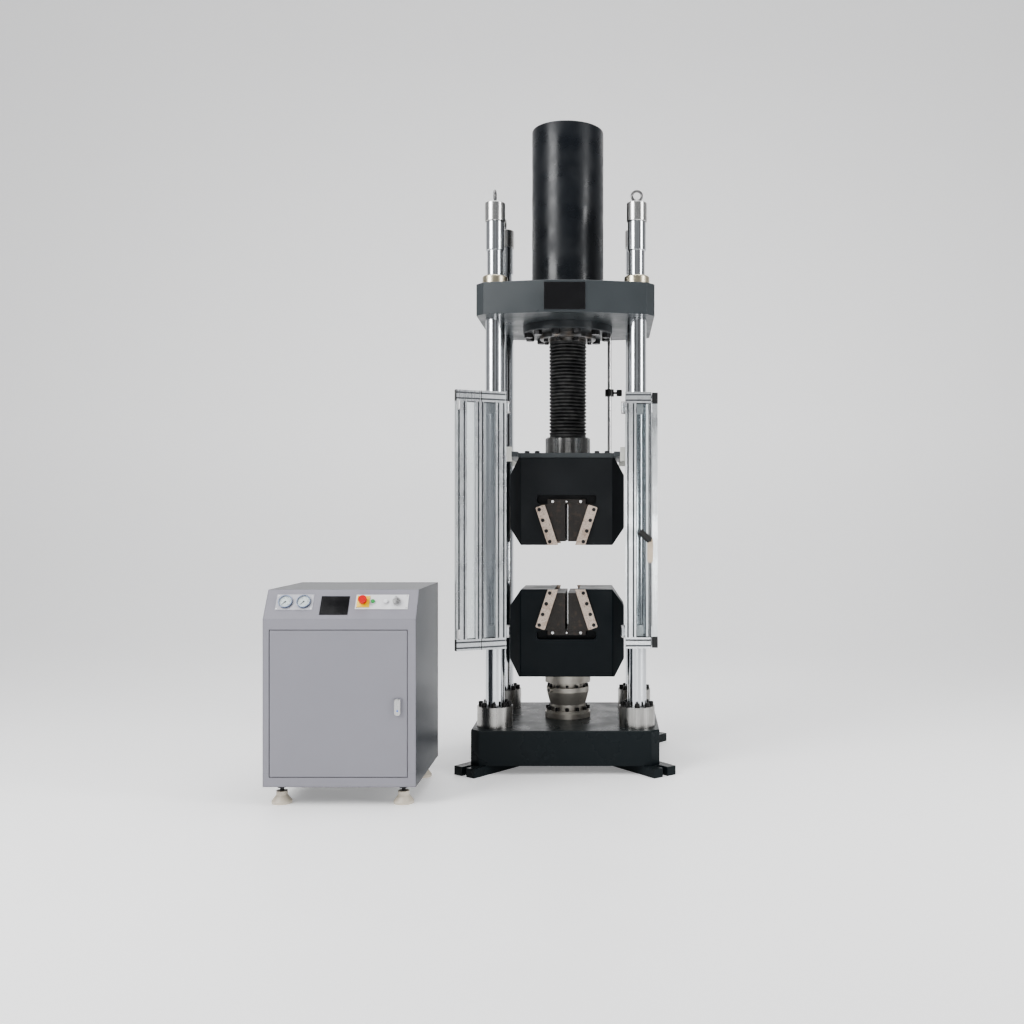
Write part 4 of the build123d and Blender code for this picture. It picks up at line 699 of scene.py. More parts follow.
class Shape:
    """One piece in the making: every method adds geometry to the same bmesh."""

    def __init__(self) -> None:
        """Start with an empty bmesh."""
        self.bm = bmesh.new()

    def _place(self, verts: list, matrix: Matrix) -> None:
        """Move vertices by a matrix."""
        bmesh.ops.transform(self.bm, matrix=matrix, verts=verts)

    def _bevel(self, edges: list, radius: float, segments: int) -> None:
        """Round edges.

        Args:
            edges: The edges.
            radius: Width of the rounding.
            segments: Its facets.
        """
        bmesh.ops.bevel(
            self.bm, geom=edges, offset=radius, offset_type="OFFSET", segments=segments, profile=0.5,
            affect="EDGES", material=-1, clamp_overlap=True,
        )

    def box(
        self, centre: Point, size: Point, bevel: float = 0.0, matrix: Matrix | None = None, segments: int = 2
    ) -> None:
        """Add a box, its edges rounded by bevel.

        Args:
            centre: Middle of the box.
            size: Its three lengths.
            bevel: Edge radius, 0 for sharp.
            matrix: Further placement, or None.
            segments: Facets of each rounding.
        """
        verts = bmesh.ops.create_cube(self.bm, size=1.0)["verts"]
        bmesh.ops.scale(self.bm, vec=Vector(size), verts=verts)
        self._place(verts, (matrix or Matrix()) @ Matrix.Translation(Vector(centre)))
        if bevel:
            self._bevel(list({e for v in verts for e in v.link_edges}), bevel, segments)

    def turned(self, profile: list[tuple[float, float]], matrix: Matrix, steps: int = 48) -> None:
        """Add a solid of revolution about the matrix's Z.

        Args:
            profile: Radius and height points from the bottom to the top; the ends lie on the axis.
            matrix: Placement.
            steps: Facets round the axis.
        """
        verts = [self.bm.verts.new((r, 0.0, z)) for r, z in profile]
        edges = [self.bm.edges.new(pair) for pair in zip(verts, verts[1:])]
        before = set(self.bm.verts) - set(verts)
        bmesh.ops.spin(
            self.bm, geom=verts + edges, cent=(0, 0, 0), axis=(0, 0, 1), angle=math.tau, steps=steps,
            use_merge=True,
        )
        made = [v for v in self.bm.verts if v not in before]
        bmesh.ops.remove_doubles(self.bm, verts=made, dist=1e-6)
        self._place([v for v in self.bm.verts if v not in before], matrix)

    def disc(
        self, radius: float, low: float, high: float, matrix: Matrix, chamfer: float = 0.0, steps: int = 48
    ) -> None:
        """Add a round plate about the matrix's Z.

        Args:
            radius: Its radius.
            low: Height of its bottom.
            high: Height of its top.
            matrix: Placement.
            chamfer: Chamfer of the top edge, 0 for none.
            steps: Facets round the edge.
        """
        profile = [(0, low), (radius, low), (radius, high - chamfer), (radius - chamfer, high), (0, high)]
        plain = [profile[0], profile[1], (radius, high), (0, high)]
        self.turned(profile if chamfer else plain, matrix, steps)

    def prism(
        self, points: list[tuple[float, float]], low: float, high: float, matrix: Matrix, bevel: float = 0.0
    ) -> None:
        """Add a flat outline extruded along the matrix's Z.

        Args:
            points: Outline across the matrix's X and Y.
            low: Height of its bottom.
            high: Height of its top.
            matrix: Placement.
            bevel: Rounding of the top edge, 0 for none.
        """
        bottom = [self.bm.verts.new((x, y, low)) for x, y in points]
        face = self.bm.faces.new(bottom)
        grown = bmesh.ops.extrude_face_region(self.bm, geom=[face])["geom"]
        top = [g for g in grown if isinstance(g, bmesh.types.BMVert)]
        bmesh.ops.translate(self.bm, vec=(0, 0, high - low), verts=top)
        verts = bottom + top
        self._place(verts, matrix)
        if bevel:
            near = {e for v in top for e in v.link_edges}
            rim = [e for e in near if e.verts[0] in top and e.verts[1] in top]
            self._bevel(rim, bevel, 2)

    def cap_screw(self, radius: float, height: float, matrix: Matrix, steps: int = 24) -> None:
        """Add a socket head: a chamfered round head with a hexagon socket sunk in its top.

        Args:
            radius: Head radius.
            height: Head height along the matrix's Z.
            matrix: Placement of the head's seat.
            steps: Facets round the head; a multiple of six.
        """
        chamfer = radius * 0.12

        def ring(size: float, level: float, hexagon: bool = False) -> list:
            """Make one ring of vertices.

            Args:
                size: Radius, or half the width across flats.
                level: Height.
                hexagon: Whether the ring follows a hexagon.

            Returns:
                The vertices.
            """
            made = []
            for step in range(steps):
                angle = math.tau * step / steps
                reach = size
                if hexagon:
                    reach = size / math.cos((angle + math.pi / 6) % (math.pi / 3) - math.pi / 6)
                made.append(self.bm.verts.new((reach * math.cos(angle), reach * math.sin(angle), level)))
            return made

        rings = [
            ring(radius, 0.0), ring(radius, height - chamfer), ring(radius - chamfer, height),
            ring(radius * 0.5, height, True), ring(radius * 0.46, height * 0.35, True),
        ]
        for lower, upper in zip(rings, rings[1:]):
            for step in range(steps):
                after = (step + 1) % steps
                self.bm.faces.new((lower[step], lower[after], upper[after], upper[step]))
        self.bm.faces.new(rings[-1])
        self.bm.faces.new(rings[0][::-1])
        self._place([v for made in rings for v in made], matrix)

    def hex_bolt(self, across: float, height: float, matrix: Matrix) -> None:
        """Add a hexagon head with a chamfered top on a round washer face.

        Args:
            across: Width across flats.
            height: Head height along the matrix's Z.
            matrix: Placement of the head's seat.
        """
        reach = across / math.sqrt(3)
        points = [(reach * math.cos(math.tau * k / 6), reach * math.sin(math.tau * k / 6)) for k in range(6)]
        self.prism(points, height * 0.08, height, matrix, across * 0.06)
        self.disc(across * 0.49, 0.0, height * 0.08, matrix, steps=24)

    def piece(
        self, name: str, body: Body | None, finish: Finish, slot: str, smooth: float = 35.0
    ) -> bpy.types.Object:
        """Turn the shape into a scene object on a CAD body.

        Args:
            name: Object name.
            body: Carrying body, or None to leave it unattached.
            finish: Its finish.
            slot: Material slot of the record; not used.
            smooth: Greatest edge angle shaded smooth, in degrees.

        Returns:
            The new object.
        """
        bmesh.ops.recalc_face_normals(self.bm, faces=self.bm.faces)
        for face in self.bm.faces:
            face.smooth = True
        for edge in self.bm.edges:
            edge.smooth = len(edge.link_faces) == 2 and edge.calc_face_angle(0.0) < math.radians(smooth)
        mesh = bpy.data.meshes.new(name)
        self.bm.to_mesh(mesh)
        self.bm.free()
        made = placed(name, mesh)
        mesh.materials.append(Palette.of(finish))
        if body:
            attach(made, body.value)
        LOG.info("piece %s in %s", name, finish.name)
        return made


class Palette:
    """Builds each finish once."""

    made: dict[str, bpy.types.Material] = {}

    @classmethod
    def of(cls, finish: Finish) -> bpy.types.Material:
        """Build a finish's material once.

        Args:
            finish: The finish.

        Returns:
            Its material.
        """
        if finish.name not in cls.made:
            cls.made[finish.name] = finish.build()
        return cls.made[finish.name]


@dataclass
class Assembly:
    """A group of CAD nodes and added trim.

    Args:
        nodes: CAD nodes of the frame, by name.
    """

    nodes: dict[str, bpy.types.Object]

    def dress(self, finish: Finish, *names: str, smooth: float = 30.0) -> None:
        """Give CAD nodes a finish and split their smooth shading at sharp edges.

        Args:
            finish: The finish.
            *names: Node names.
            smooth: Greatest edge angle shaded smooth, in degrees.
        """
        for name in names:
            made = self.nodes[name]
            made.data.materials.clear()
            made.data.materials.append(Palette.of(finish))
            made.data.shade_smooth()
            made.data.set_sharp_from_angle(angle=math.radians(smooth))
            LOG.info("node %s in %s", name, finish.name)

    def build(self) -> None:
        """Dress the group's CAD nodes and add its trim."""
        raise NotImplementedError


# ---------------------------------------------------------------- load frame


@dataclass
class LoadFrame(Assembly):
    """Base, feet, columns with collars and lock rings, crosshead and lifting eyes.

    Args:
        span_x: Distance of the columns across.
        span_y: Distance of the columns front to back.
        base_top: Height of the base's top face.
        collar_height: Height of the column collars.
        collar_screws: Number of screws in a collar.
        screw_circle: Pitch circle diameter of the collar screws.
        screw_radius: Head radius of the collar screws.
        screw_height: Head height of the collar screws.
        cell_screws: Number of screws in a ring of the load cell.
        cell_rings: Pitch radius, level, head radius and head height of each ring's screws.
    """

    span_x: float = 0.655
    span_y: float = 0.482
    base_top: float = 0.198
    collar_height: float = 0.093
    collar_screws: int = 8
    screw_circle: float = 0.13
    screw_radius: float = 0.011
    screw_height: float = 0.019
    cell_screws: int = 12
    cell_rings: tuple[tuple[float, ...], ...] = ((0.097, 0.235, 0.009, 0.015), (0.092, 0.344, 0.007, 0.012))

    def build(self) -> None:
        """Dress the frame."""
        self.dress(DARK_PAINT, "base_plate", "foot_plates")
        self.dress(CHROME, "columns")
        self.dress(COLLAR_STEEL, "column_collars")
        self.dress(BRASSY, "column_lock_rings")
        self.dress(EYE_STEEL, "lifting_eyes")
        self.dress(CROSSHEAD_PAINT, "crosshead")
        self.dress(PLATE_BLACK, "blank_plates")
        self.screws()

    def corners(self) -> list[Point]:
        """Return the column positions."""
        return [(sx * self.span_x / 2, sy * self.span_y / 2, 0.0) for sx in (-1, 1) for sy in (-1, 1)]

    def screws(self) -> None:
        """Make every socket screw of the fixed frame, in place of its CAD stand-in."""
        shape = Shape()
        top = self.base_top + self.collar_height
        circles = [
            (x, y, top, self.screw_circle / 2, self.collar_screws, self.screw_radius, self.screw_height)
            for x, y, _ in self.corners()
        ]
        for reach, level, radius, height in self.cell_rings:
            circles.append((0.0, 0.0, level, reach, self.cell_screws, radius, height))
        for x, y, level, reach, count, radius, height in circles:
            for step in range(count):
                angle = math.tau * step / count
                spot = Vector((x + reach * math.cos(angle), y + reach * math.sin(angle), level))
                shape.cap_screw(radius, height, Matrix.Translation(spot))
        made = shape.piece("frame_socket_screws", Body.FRAME, BLACK_OXIDE, "black_oxide")
        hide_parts("socket_screws")


@dataclass
class Cylinder(Assembly):
    """Hydraulic cylinder with flange, gland, rod and bellows.

    Args:
        folds: Number of bellows folds.
        low: Lower end of the bellows.
        high: Upper end of the bellows.
        outer: Radius of the folds' crests.
        inner: Radius between the folds.
        wall: Inner radius of the rubber.
        cuff: Height of the plain band at each end.
        cuff_radius: Radius of that band.
        groove: Extra depth of the line between two folds.
        fold_steps: Points along one fold.
        fullness: Power of the sine that shapes a fold; less is fuller.
        facets: Facets round the bellows.
    """

    folds: int = 26
    low: float = 1.5433
    high: float = 2.0027
    outer: float = 0.0905
    inner: float = 0.077
    wall: float = 0.0715
    cuff: float = 0.012
    cuff_radius: float = 0.0875
    groove: float = 0.0008
    fold_steps: int = 10
    fullness: float = 0.7
    facets: int = 72

    def build(self) -> None:
        """Dress the cylinder and make the bellows."""
        self.dress(CYLINDER_PAINT, "cylinder_barrel", "cylinder_cap")
        self.dress(FLANGE_PAINT, "cylinder_flange")
        self.dress(DARK_STEEL, "flange_bolts")
        self.dress(GLAND_STEEL, "rod_gland")
        self.dress(CHROME, "piston_rod")
        self.dress(FLANGE_STEEL, "rod_flange")
        self.bellows()

    def bellows(self) -> None:
        """Make the bellows with rounded folds; it stretches between the gland and the rod's flange."""
        shape = Shape()
        edge, bottom, top = self.cuff_radius, self.low + self.cuff, self.high - self.cuff
        pitch = (self.high - self.low - 2 * self.cuff) / self.folds
        profile = [(self.wall, self.low), (edge, self.low), (edge, bottom)]
        for fold in range(self.folds):
            base = bottom + fold * pitch
            for step in range(1, self.fold_steps):
                share = step / self.fold_steps
                swell = math.sin(math.pi * share) ** self.fullness
                profile.append((self.inner + (self.outer - self.inner) * swell, base + pitch * share))
            if fold < self.folds - 1:
                profile.append((self.inner - self.groove, base + pitch))
        profile += [(edge, top), (edge, self.high), (self.wall, self.high)]
        verts = [shape.bm.verts.new((r, 0.0, z)) for r, z in profile]
        edges = [shape.bm.edges.new((a, b)) for a, b in zip(verts, verts[1:] + verts[:1])]
        bmesh.ops.spin(
            shape.bm, geom=verts + edges, cent=(0, 0, 0), axis=(0, 0, 1), angle=math.tau,
            steps=self.facets, use_merge=True,
        )
        made = shape.piece("bellows_folds", None, RUBBER, "bellows_rubber", 60)
        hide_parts("bellows")
        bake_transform(made)


@dataclass
class LoadCell(Assembly):
    """Load cell under the lower grip head: rings, body and connector.

    Args:
        turn: Where the connector points, from the front towards the left.
        reach: Distance of its face from the load axis.
        level: Its height.
        radius: Radius of its face.
    """

    turn: float = math.radians(50)
    reach: float = 0.116
    level: float = 0.333
    radius: float = 0.0085

    def build(self) -> None:
        """Dress the load cell and add the dark face of its connector."""
        self.dress(CELL_STEEL, "load_cell_rings", "load_cell_body")
        out = Vector((-math.sin(self.turn), -math.cos(self.turn), 0.0))
        face = upright(out, out * self.reach + Vector((0, 0, self.level)))
        socket = Shape()
        socket.disc(self.radius, 0.0, 0.0006, face, 0.0002, 32)
        socket.piece("cell_connector_face", Body.FRAME, BLACK_PLASTIC, "grip_black")


@dataclass
class GripHead(Assembly):
    """One wedge grip head with guide rails, screws, jaws and their carrier.

    Args:
        prefix: "upper" or "lower".
        body: Body of the head.
        carrier: Body of the jaw carrier.
        mouth: Height of the head's mouth face.
        up: +1 if the head stands above its mouth, else -1.
        lean: Lean of the guide rails.
        mouth_half: Half the mouth's width.
        rail_width: Width of a rail.
        rail_overlap: How far a rail covers the mouth's edge.
        rail_front: Distance of the rails' faces from the load axis.
        rail_screw_first: Rise of a rail's first screw.
        rail_screw_pitch: Distance of its screws along the rail.
        carrier_front: Distance of the carrier's faces from the load axis.
        carrier_rise: Rise of the carrier's middle.
        carrier_screw_half: Half the distance of its screws.
        plate_top: Height of the guide plate's top.
        plate_bolts_x: Places of its bolts across.
        plate_bolts_y: Places of its bolts front to back.
    """

    prefix: str = "upper"
    body: Body = Body.HEAD
    carrier: Body = Body.UPPER_CARRIER
    mouth: float = 1.029
    up: int = 1
    lean: float = math.radians(18.2)
    mouth_half: float = 0.058
    rail_width: float = 0.046
    rail_overlap: float = 0.018
    rail_front: float = 0.174
    rail_screw_first: float = 0.016
    rail_screw_pitch: float = 0.0526
    carrier_front: float = 0.158
    carrier_rise: float = 0.204
    carrier_screw_half: float = 0.066
    plate_top: float = 1.462
    plate_bolts_x: tuple[float, ...] = (-0.19, -0.142, 0.142, 0.19)
    plate_bolts_y: tuple[float, ...] = (-0.1, 0.1)

    def build(self) -> None:
        """Dress the head and add its screws."""
        paint = HEAD_PAINT if self.up > 0 else LOWER_PAINT
        self.dress(paint, f"{self.prefix}_head_body")
        self.dress(RAIL, f"{self.prefix}_guide_rails")
        self.dress(JAW, f"{self.prefix}_jaw_left", f"{self.prefix}_jaw_right", f"{self.prefix}_jaw_carrier")
        self.rail_screws()
        self.carrier_screws()

    def level(self, rise: float) -> float:
        """Return the height of a point rise inside the head from its mouth."""
        return self.mouth + self.up * rise

    def rail_screws(self) -> None:
        """Make the rails' socket screws, front and back."""
        shape = Shape()
        line = self.mouth_half + (self.rail_width / math.cos(self.lean) - self.rail_overlap) / 2
        for side in (-1, 1):
            for face in (-1, 1):
                for number in range(4):
                    rise = self.rail_screw_first + number * self.rail_screw_pitch * math.cos(self.lean)
                    across = line + rise * math.tan(self.lean)
                    spot = Vector((side * across, face * self.rail_front, self.level(rise)))
                    shape.cap_screw(0.0085, 0.003, upright(Vector((0, face, 0)), spot))
        name = f"{self.prefix}_rail_screws"
        made = shape.piece(name, self.body, BLACK_OXIDE, "black_oxide")
        if self.up < 0:
            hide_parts("socket_screws")
        else:
            bolts = Shape()
            for x in self.plate_bolts_x:
                for y in self.plate_bolts_y:
                    bolts.hex_bolt(0.02, 0.012, Matrix.Translation((x, y, self.plate_top)))
            plate_bolts = bolts.piece("guide_plate_bolts", self.body, DARK_STEEL, "dark_steel")
            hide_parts("upper_head_screws")
            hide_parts("upper_head_screws")

    def carrier_screws(self) -> None:
        """Make the two bright screws of the jaw carrier and the pin between them, front and back."""
        shape = Shape()
        middle = self.level(self.carrier_rise)
        for face in (-1, 1):
            for x in (-self.carrier_screw_half, self.carrier_screw_half):
                spot = Vector((x, face * self.carrier_front, middle))
                shape.cap_screw(0.007, 0.0035, upright(Vector((0, face, 0)), spot))
            pin = upright(Vector((0, face, 0)), Vector((0, face * self.carrier_front, middle)))
            shape.disc(0.005, 0, 0.004, pin, 0.001, 24)
        shape.piece(f"{self.prefix}_carrier_screws", self.carrier, BRIGHT, "bright_steel")


@dataclass
class GuidePlate(Assembly):
    """Guide plate on the upper grip head, its pads, and the limit rod with its collar."""

    def build(self) -> None:
        """Dress the plate, pads, rod and collar."""
        self.dress(CROSSHEAD_PAINT, "guide_plate")
        self.dress(PAD_PLASTIC, "guide_pads")
        self.dress(BRIGHT, "limit_rod")
        self.dress(BLACK_OXIDE, "limit_collar")
        self.dress(HANDLE, "guard_handle")
        self.dress(LIGHT_CASTING, "guard_brackets")


# ---------------------------------------------------------------- guards


@dataclass
class Guard(Assembly):
    """One bi-fold guard; a leaf's own frame runs along the leaf, to its back and up.

    Args:
        side: "right" or "left".
        bottom: Lower edge.
        height: Height of the leaves.
        thin: Profile thickness.
        wide: Profile width.
        inner_body: Body of the leaf at the column.
        outer_body: Body of the leaf that folds.
        inner_ends: Where the inner leaf starts and ends along its own frame.
        outer_ends: Where the outer leaf does.
        hinge: Place of the hinge line, to the right and to the back.
        fold: Place of the right guard's fold line.
        swing: Angle that the left guard stands open.
        slot_width: Width of a profile's slot.
        slot_depth: Depth of its dark bottom.
        fold_slot: Distance of the inner leaf's last slot from its end.
        cap_thickness: Thickness of an end cap.
        cap_inset: How far a cap's middle lies inside the end.
        cap_inset_free: The same at the right guard's free end.
        strip: Width of the strip round a pane.
        strip_thickness: Its thickness.
        strip_offset: Distance of its middle from the pane's.
        catch_levels: Heights of the two catch blocks.
        catch_size: Size of a block.
        catch_inset: Distance of a block's middle from the free edge.
        catch_screw_rise: Distance of its screws from its middle.
    """

    side: str = "right"
    bottom: float = 0.565
    height: float = 1.162
    thin: float = 0.025
    wide: float = 0.05
    inner_body: Body = Body.RIGHT_INNER
    outer_body: Body = Body.RIGHT_OUTER
    inner_ends: tuple[float, float] = (0.010, 0.128)
    outer_ends: tuple[float, float] = (0.0005, 0.1165)
    hinge: tuple[float, float] = (0.262, -0.3265)
    fold: tuple[float, float] = (0.408, -0.309)
    swing: float = math.radians(25)
    slot_width: float = 0.0074
    slot_depth: float = 0.0057
    fold_slot: float = 0.005
    cap_thickness: float = 0.002
    cap_inset: float = 0.0009
    cap_inset_free: float = 0.0005
    strip: float = 0.0025
    strip_thickness: float = 0.0018
    strip_offset: float = 0.0035
    catch_levels: tuple[float, float] = (1.659, 0.64)
    catch_size: Point = (0.014, 0.006, 0.042)
    catch_inset: float = 0.009
    catch_screw_rise: float = 0.012

    def leaf_matrix(self, outer: bool) -> Matrix:
        """Give a leaf's own frame: origin on its hinge line at floor level, +X along it, +Y to its back.

        Args:
            outer: Whether it is the outer leaf.

        Returns:
            The matrix from the leaf's frame to the row frame.
        """
        x, y = self.hinge
        if self.side == "right":
            if outer:
                return Matrix(((0, 1, 0, self.fold[0]), (1, 0, 0, self.fold[1]), (0, 0, 1, 0), (0, 0, 0, 1)))
            return Matrix.Translation((x, y, 0))
        c, s = math.cos(self.swing), math.sin(self.swing)
        return Matrix(((-c, -s, 0, -x), (-s, c, 0, y), (0, 0, 1, 0), (0, 0, 0, 1)))

    def ends(self, outer: bool) -> tuple[float, float]:
        """Return where a leaf starts and ends along its own frame."""
        return self.outer_ends if outer else self.inner_ends

    def add(self, shape: Shape, outer: bool, part: str, finish: Finish) -> None:
        """Turn a shape into a piece of a leaf."""
        name = f"{self.side}_{'outer' if outer else 'inner'}_{part}"
        shape.piece(name, self.outer_body if outer else self.inner_body, finish, "grip_black")

    def build(self) -> None:
        """Dress the leaves and add end caps, gaskets, slot shades and catches."""
        side = self.side
        self.dress(ALUMINIUM, f"{side}_inner_frame", f"{side}_outer_frame")
        self.dress(TINTED_WINDOW if side == "left" else WINDOW, f"{side}_inner_window")
        self.dress(PALE_WINDOW if side == "left" else WINDOW, f"{side}_outer_window")
        for outer in (False, True):
            self.caps(outer)
            self.gaskets(outer)
            self.slots(outer)
        if side == "left":
            self.catches()

    def caps(self, outer: bool) -> None:
        """Make the moulded caps on the rails' ends.

        Args:
            outer: Whether it is the outer leaf.
        """
        shape, matrix = Shape(), self.leaf_matrix(outer)
        start, end = self.ends(outer)
        for level in (self.bottom + self.wide / 2, self.bottom + self.height - self.wide / 2):
            both = outer and self.side == "right"
            spots = (start + self.cap_inset, end - self.cap_inset_free) if both else (end - self.cap_inset,)
            for spot in spots:
                size = (self.cap_thickness, self.thin + 0.001, self.wide + 0.001)
                shape.box((spot, 0, level), size, 0.0004, matrix, 1)
        self.add(shape, outer, "end_caps", BLACK_PLASTIC)

    def slots(self, outer: bool) -> None:
        """Line the bottoms of the profile's slots with their dark shade, on both faces.

        Args:
            outer: Whether it is the outer leaf.
        """
        shape, matrix = Shape(), self.leaf_matrix(outer)
        start, end = self.ends(outer)
        middle, top = self.bottom + self.height / 2, self.bottom + self.height
        pitch, wide, deep = self.wide / 2, self.slot_width, self.thin / 2 - self.slot_depth
        if outer:
            lone, stile = start + self.thin / 2, end - self.wide / 2
        else:
            lone, stile = end - self.fold_slot, start + self.wide / 2
        stiles = (lone, stile - pitch / 2, stile + pitch / 2)
        for face in (-deep, deep):
            for x in stiles:
                shape.box((x, face, middle), (wide, 0.0004, self.height - 2 * self.wide), 0, matrix)
            for rail in (self.bottom + self.wide / 2, top - self.wide / 2):
                for z in (rail - pitch / 2, rail + pitch / 2):
                    shape.box(((start + end) / 2, face, z), (end - start - 0.004, 0.0004, wide), 0, matrix)
        self.add(shape, outer, "slot_shade", SLOT_SHADE)

    def catches(self) -> None:
        """Make the two small catch blocks near the free edge of the left guard's outer leaf."""
        shape, matrix = Shape(), self.leaf_matrix(True)
        _, end = self.ends(True)
        across, front, deep = end - self.catch_inset, -self.thin / 2, self.catch_size[1]
        for level in self.catch_levels:
            shape.box((across, front - deep / 2, level), self.catch_size, 0.001, matrix)
            for rise in (-self.catch_screw_rise, self.catch_screw_rise):
                spot = matrix @ Vector((across, front - deep, level + rise))
                shape.cap_screw(0.0028, 0.001, upright(matrix.to_3x3() @ Vector((0, -1, 0)), spot), 18)
        shape.piece("left_outer_catches", self.outer_body, LIGHT_CASTING, "light_casting")

    def gaskets(self, outer: bool) -> None:
        """Make the dark strips that hold a pane in its frame, on both faces.

        Args:
            outer: Whether it is the outer leaf.
        """
        shape, matrix = Shape(), self.leaf_matrix(outer)
        low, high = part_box(f"{self.side}_{'outer' if outer else 'inner'}_window")
        spans = [matrix.inverted() @ Vector((x, y, 0)) for x in (low.x, high.x) for y in (low.y, high.y)]
        if self.side == "left":
            start, end = self.ends(outer)
            before, after = (0.012, self.wide) if outer else (0.010, 0.012)
            left, right = start + before, end - after
        else:
            left, right = min(v.x for v in spans), max(v.x for v in spans)
        bottom, top = self.bottom + self.wide, self.bottom + self.height - self.wide
        for face in (-1, 1):
            for x in (left + 0.001, right - 0.001):
                size = (self.strip, self.strip_thickness, top - bottom - 0.001)
                shape.box((x, face * self.strip_offset, (bottom + top) / 2), size, 0.0004, matrix, 1)
            for z in (bottom + 0.0015, top - 0.0015):
                size = (right - left, self.strip_thickness, self.strip)
                shape.box(((left + right) / 2, face * self.strip_offset, z), size, 0.0004, matrix, 1)
        self.add(shape, outer, "gasket", BLACK_PLASTIC)


# ---------------------------------------------------------------- cabinet


@dataclass
class Cabinet(Assembly):
    """Oil source cabinet with its sloping panel, door and inner pump unit.

    Args:
        middle: Middle of the sloping panel.
        normal: Where the panel faces.
        plate_lift: Height of the plates on the panel.
        gauges_x: Places of the gauges along the panel.
        gauge_rise: Their place up the panel.
        dial_radius: Radius of a dial.
        scale_radius: Outer radius of its scale.
        scale_start: Angle of the scale's zero.
        scale_sweep: Angle from zero to full scale.
        divisions: Marks past zero.
        figure_every: Marks from one number to the next.
        figure_radius: Distance of the numbers from the middle.
        figure_size: Height of the numbers.
        lens_radius: Radius of the lens.
        stop_spot: Place of the stop button along and up the panel.
        stop_square: Size of its yellow square.
        plates: Place and size of each screwed plate: along, up, wide, high.
        plate_screw_inset: Distance of a plate's screws from its edges.
        lever_lock: Place of the dot on the door's lever.
        foot_inset: Distance of the feet's middles from their outer edges.
        washer_level: Height of the washers under the shell.
    """

    middle: Point = (-0.8845, -0.8525, 0.808)
    normal: Point = (0.0, -0.84214, 0.53926)
    plate_lift: float = 0.002
    gauges_x: tuple[float, float] = (-0.227, -0.153)
    gauge_rise: float = 0.009
    dial_radius: float = 0.0243
    scale_radius: float = 0.0225
    scale_start: float = math.radians(225)
    scale_sweep: float = math.radians(270)
    divisions: int = 25
    figure_every: int = 5
    figure_radius: float = 0.0155
    figure_size: float = 0.0046
    lens_radius: float = 0.0248
    stop_spot: tuple[float, float] = (0.088, 0.010)
    stop_square: Point = (0.0506, 0.0506, 0.0041)
    plates: tuple[tuple[float, ...], ...] = ((-0.19, 0.009, 0.15, 0.07), (0.163, 0.010, 0.213, 0.066))
    plate_screw_inset: float = 0.006
    lever_lock: Point = (-0.65, -0.9003, 0.385)
    foot_inset: float = 0.041
    washer_level: float = 0.0745

    def panel(self, x: float, rise: float, lift: float = 0.0) -> Matrix:
        """Give a frame on the sloping panel: +X right, +Y up the slope, +Z outwards.

        Args:
            x: Place along the panel.
            rise: Place up the panel.
            lift: Height above it.

        Returns:
            The matrix from that frame to the row frame.
        """
        n = Vector(self.normal)
        up = Vector((0.0, n.z, -n.y))
        turn = Matrix((Vector((1, 0, 0)), up, n)).transposed().to_4x4()
        spot = Vector(self.middle) + Vector((x, 0, 0)) + up * rise + n * lift
        return Matrix.Translation(spot) @ turn

    def build(self) -> None:
        """Dress the cabinet and add gauge faces, controls, the lever's dot and washers."""
        self.dress(CABINET_PAINT, "cabinet_shell")
        self.dress(DOOR_PAINT, "cabinet_door")
        self.dress(BRIGHT, "door_handle", "key_switch", "valve_manifold", "hose_ports")
        self.dress(FOOT, "cabinet_feet")
        self.dress(PANEL, "control_plates")
        self.dress(BEZEL, "gauges")
        self.dress(DARK_STEEL, "gauge_pointer_left", "gauge_pointer_right")
        self.dress(RED_PLASTIC, "estop_button")
        self.dress(GREEN_PLASTIC, "push_button_left")
        self.dress(WHITE_PLASTIC, "push_button_right")
        self.dress(TANK_PAINT, "oil_tank")
        self.dress(MOTOR_PAINT, "pump_motor")
        for number, x in enumerate(self.gauges_x, 1):
            self.gauge(f"gauge_{number}", x)
        self.controls()
        self.lever_dot()
        self.foot_washers()

    def gauge(self, name: str, x: float) -> None:
        """Make one gauge's dial, its scale with numbers, and the lens.

        Args:
            name: Name of the gauge.
            x: Its place along the panel.
        """
        at = self.panel(x, self.gauge_rise, self.plate_lift)
        dial, ink, figures = Shape(), Shape(), []
        dial.disc(self.dial_radius, 0.0028, 0.0031, at)
        for step in range(self.divisions + 1):
            angle = self.scale_start - self.scale_sweep * step / self.divisions
            long = step % self.figure_every == 0
            length, thick = (0.004, 0.0008) if long else (0.0022, 0.0005)
            turn = at @ Matrix.Rotation(angle, 4, "Z")
            ink.box((self.scale_radius - length / 2, 0, 0.00315), (length, thick, 0.0001), 0, turn)
            if long:
                reach = self.figure_radius
                figures.append((step, Vector((reach * math.cos(angle), reach * math.sin(angle), 0.00314))))
        dial.piece(f"{name}_dial", Body.FRAME, DIAL, "panel_plate")
        ink.piece(f"{name}_scale", Body.FRAME, INK, "pointer_black")
        for number, (step, spot) in enumerate(figures):
            self.numeral(f"{name}_figure_{number}", str(step), at @ Matrix.Translation(spot))
        lens = Shape()
        lens.disc(self.lens_radius, 0.0074, 0.0082, at, 0.0004)
        lens.piece(f"{name}_lens", Body.FRAME, LENS, "clear_window")

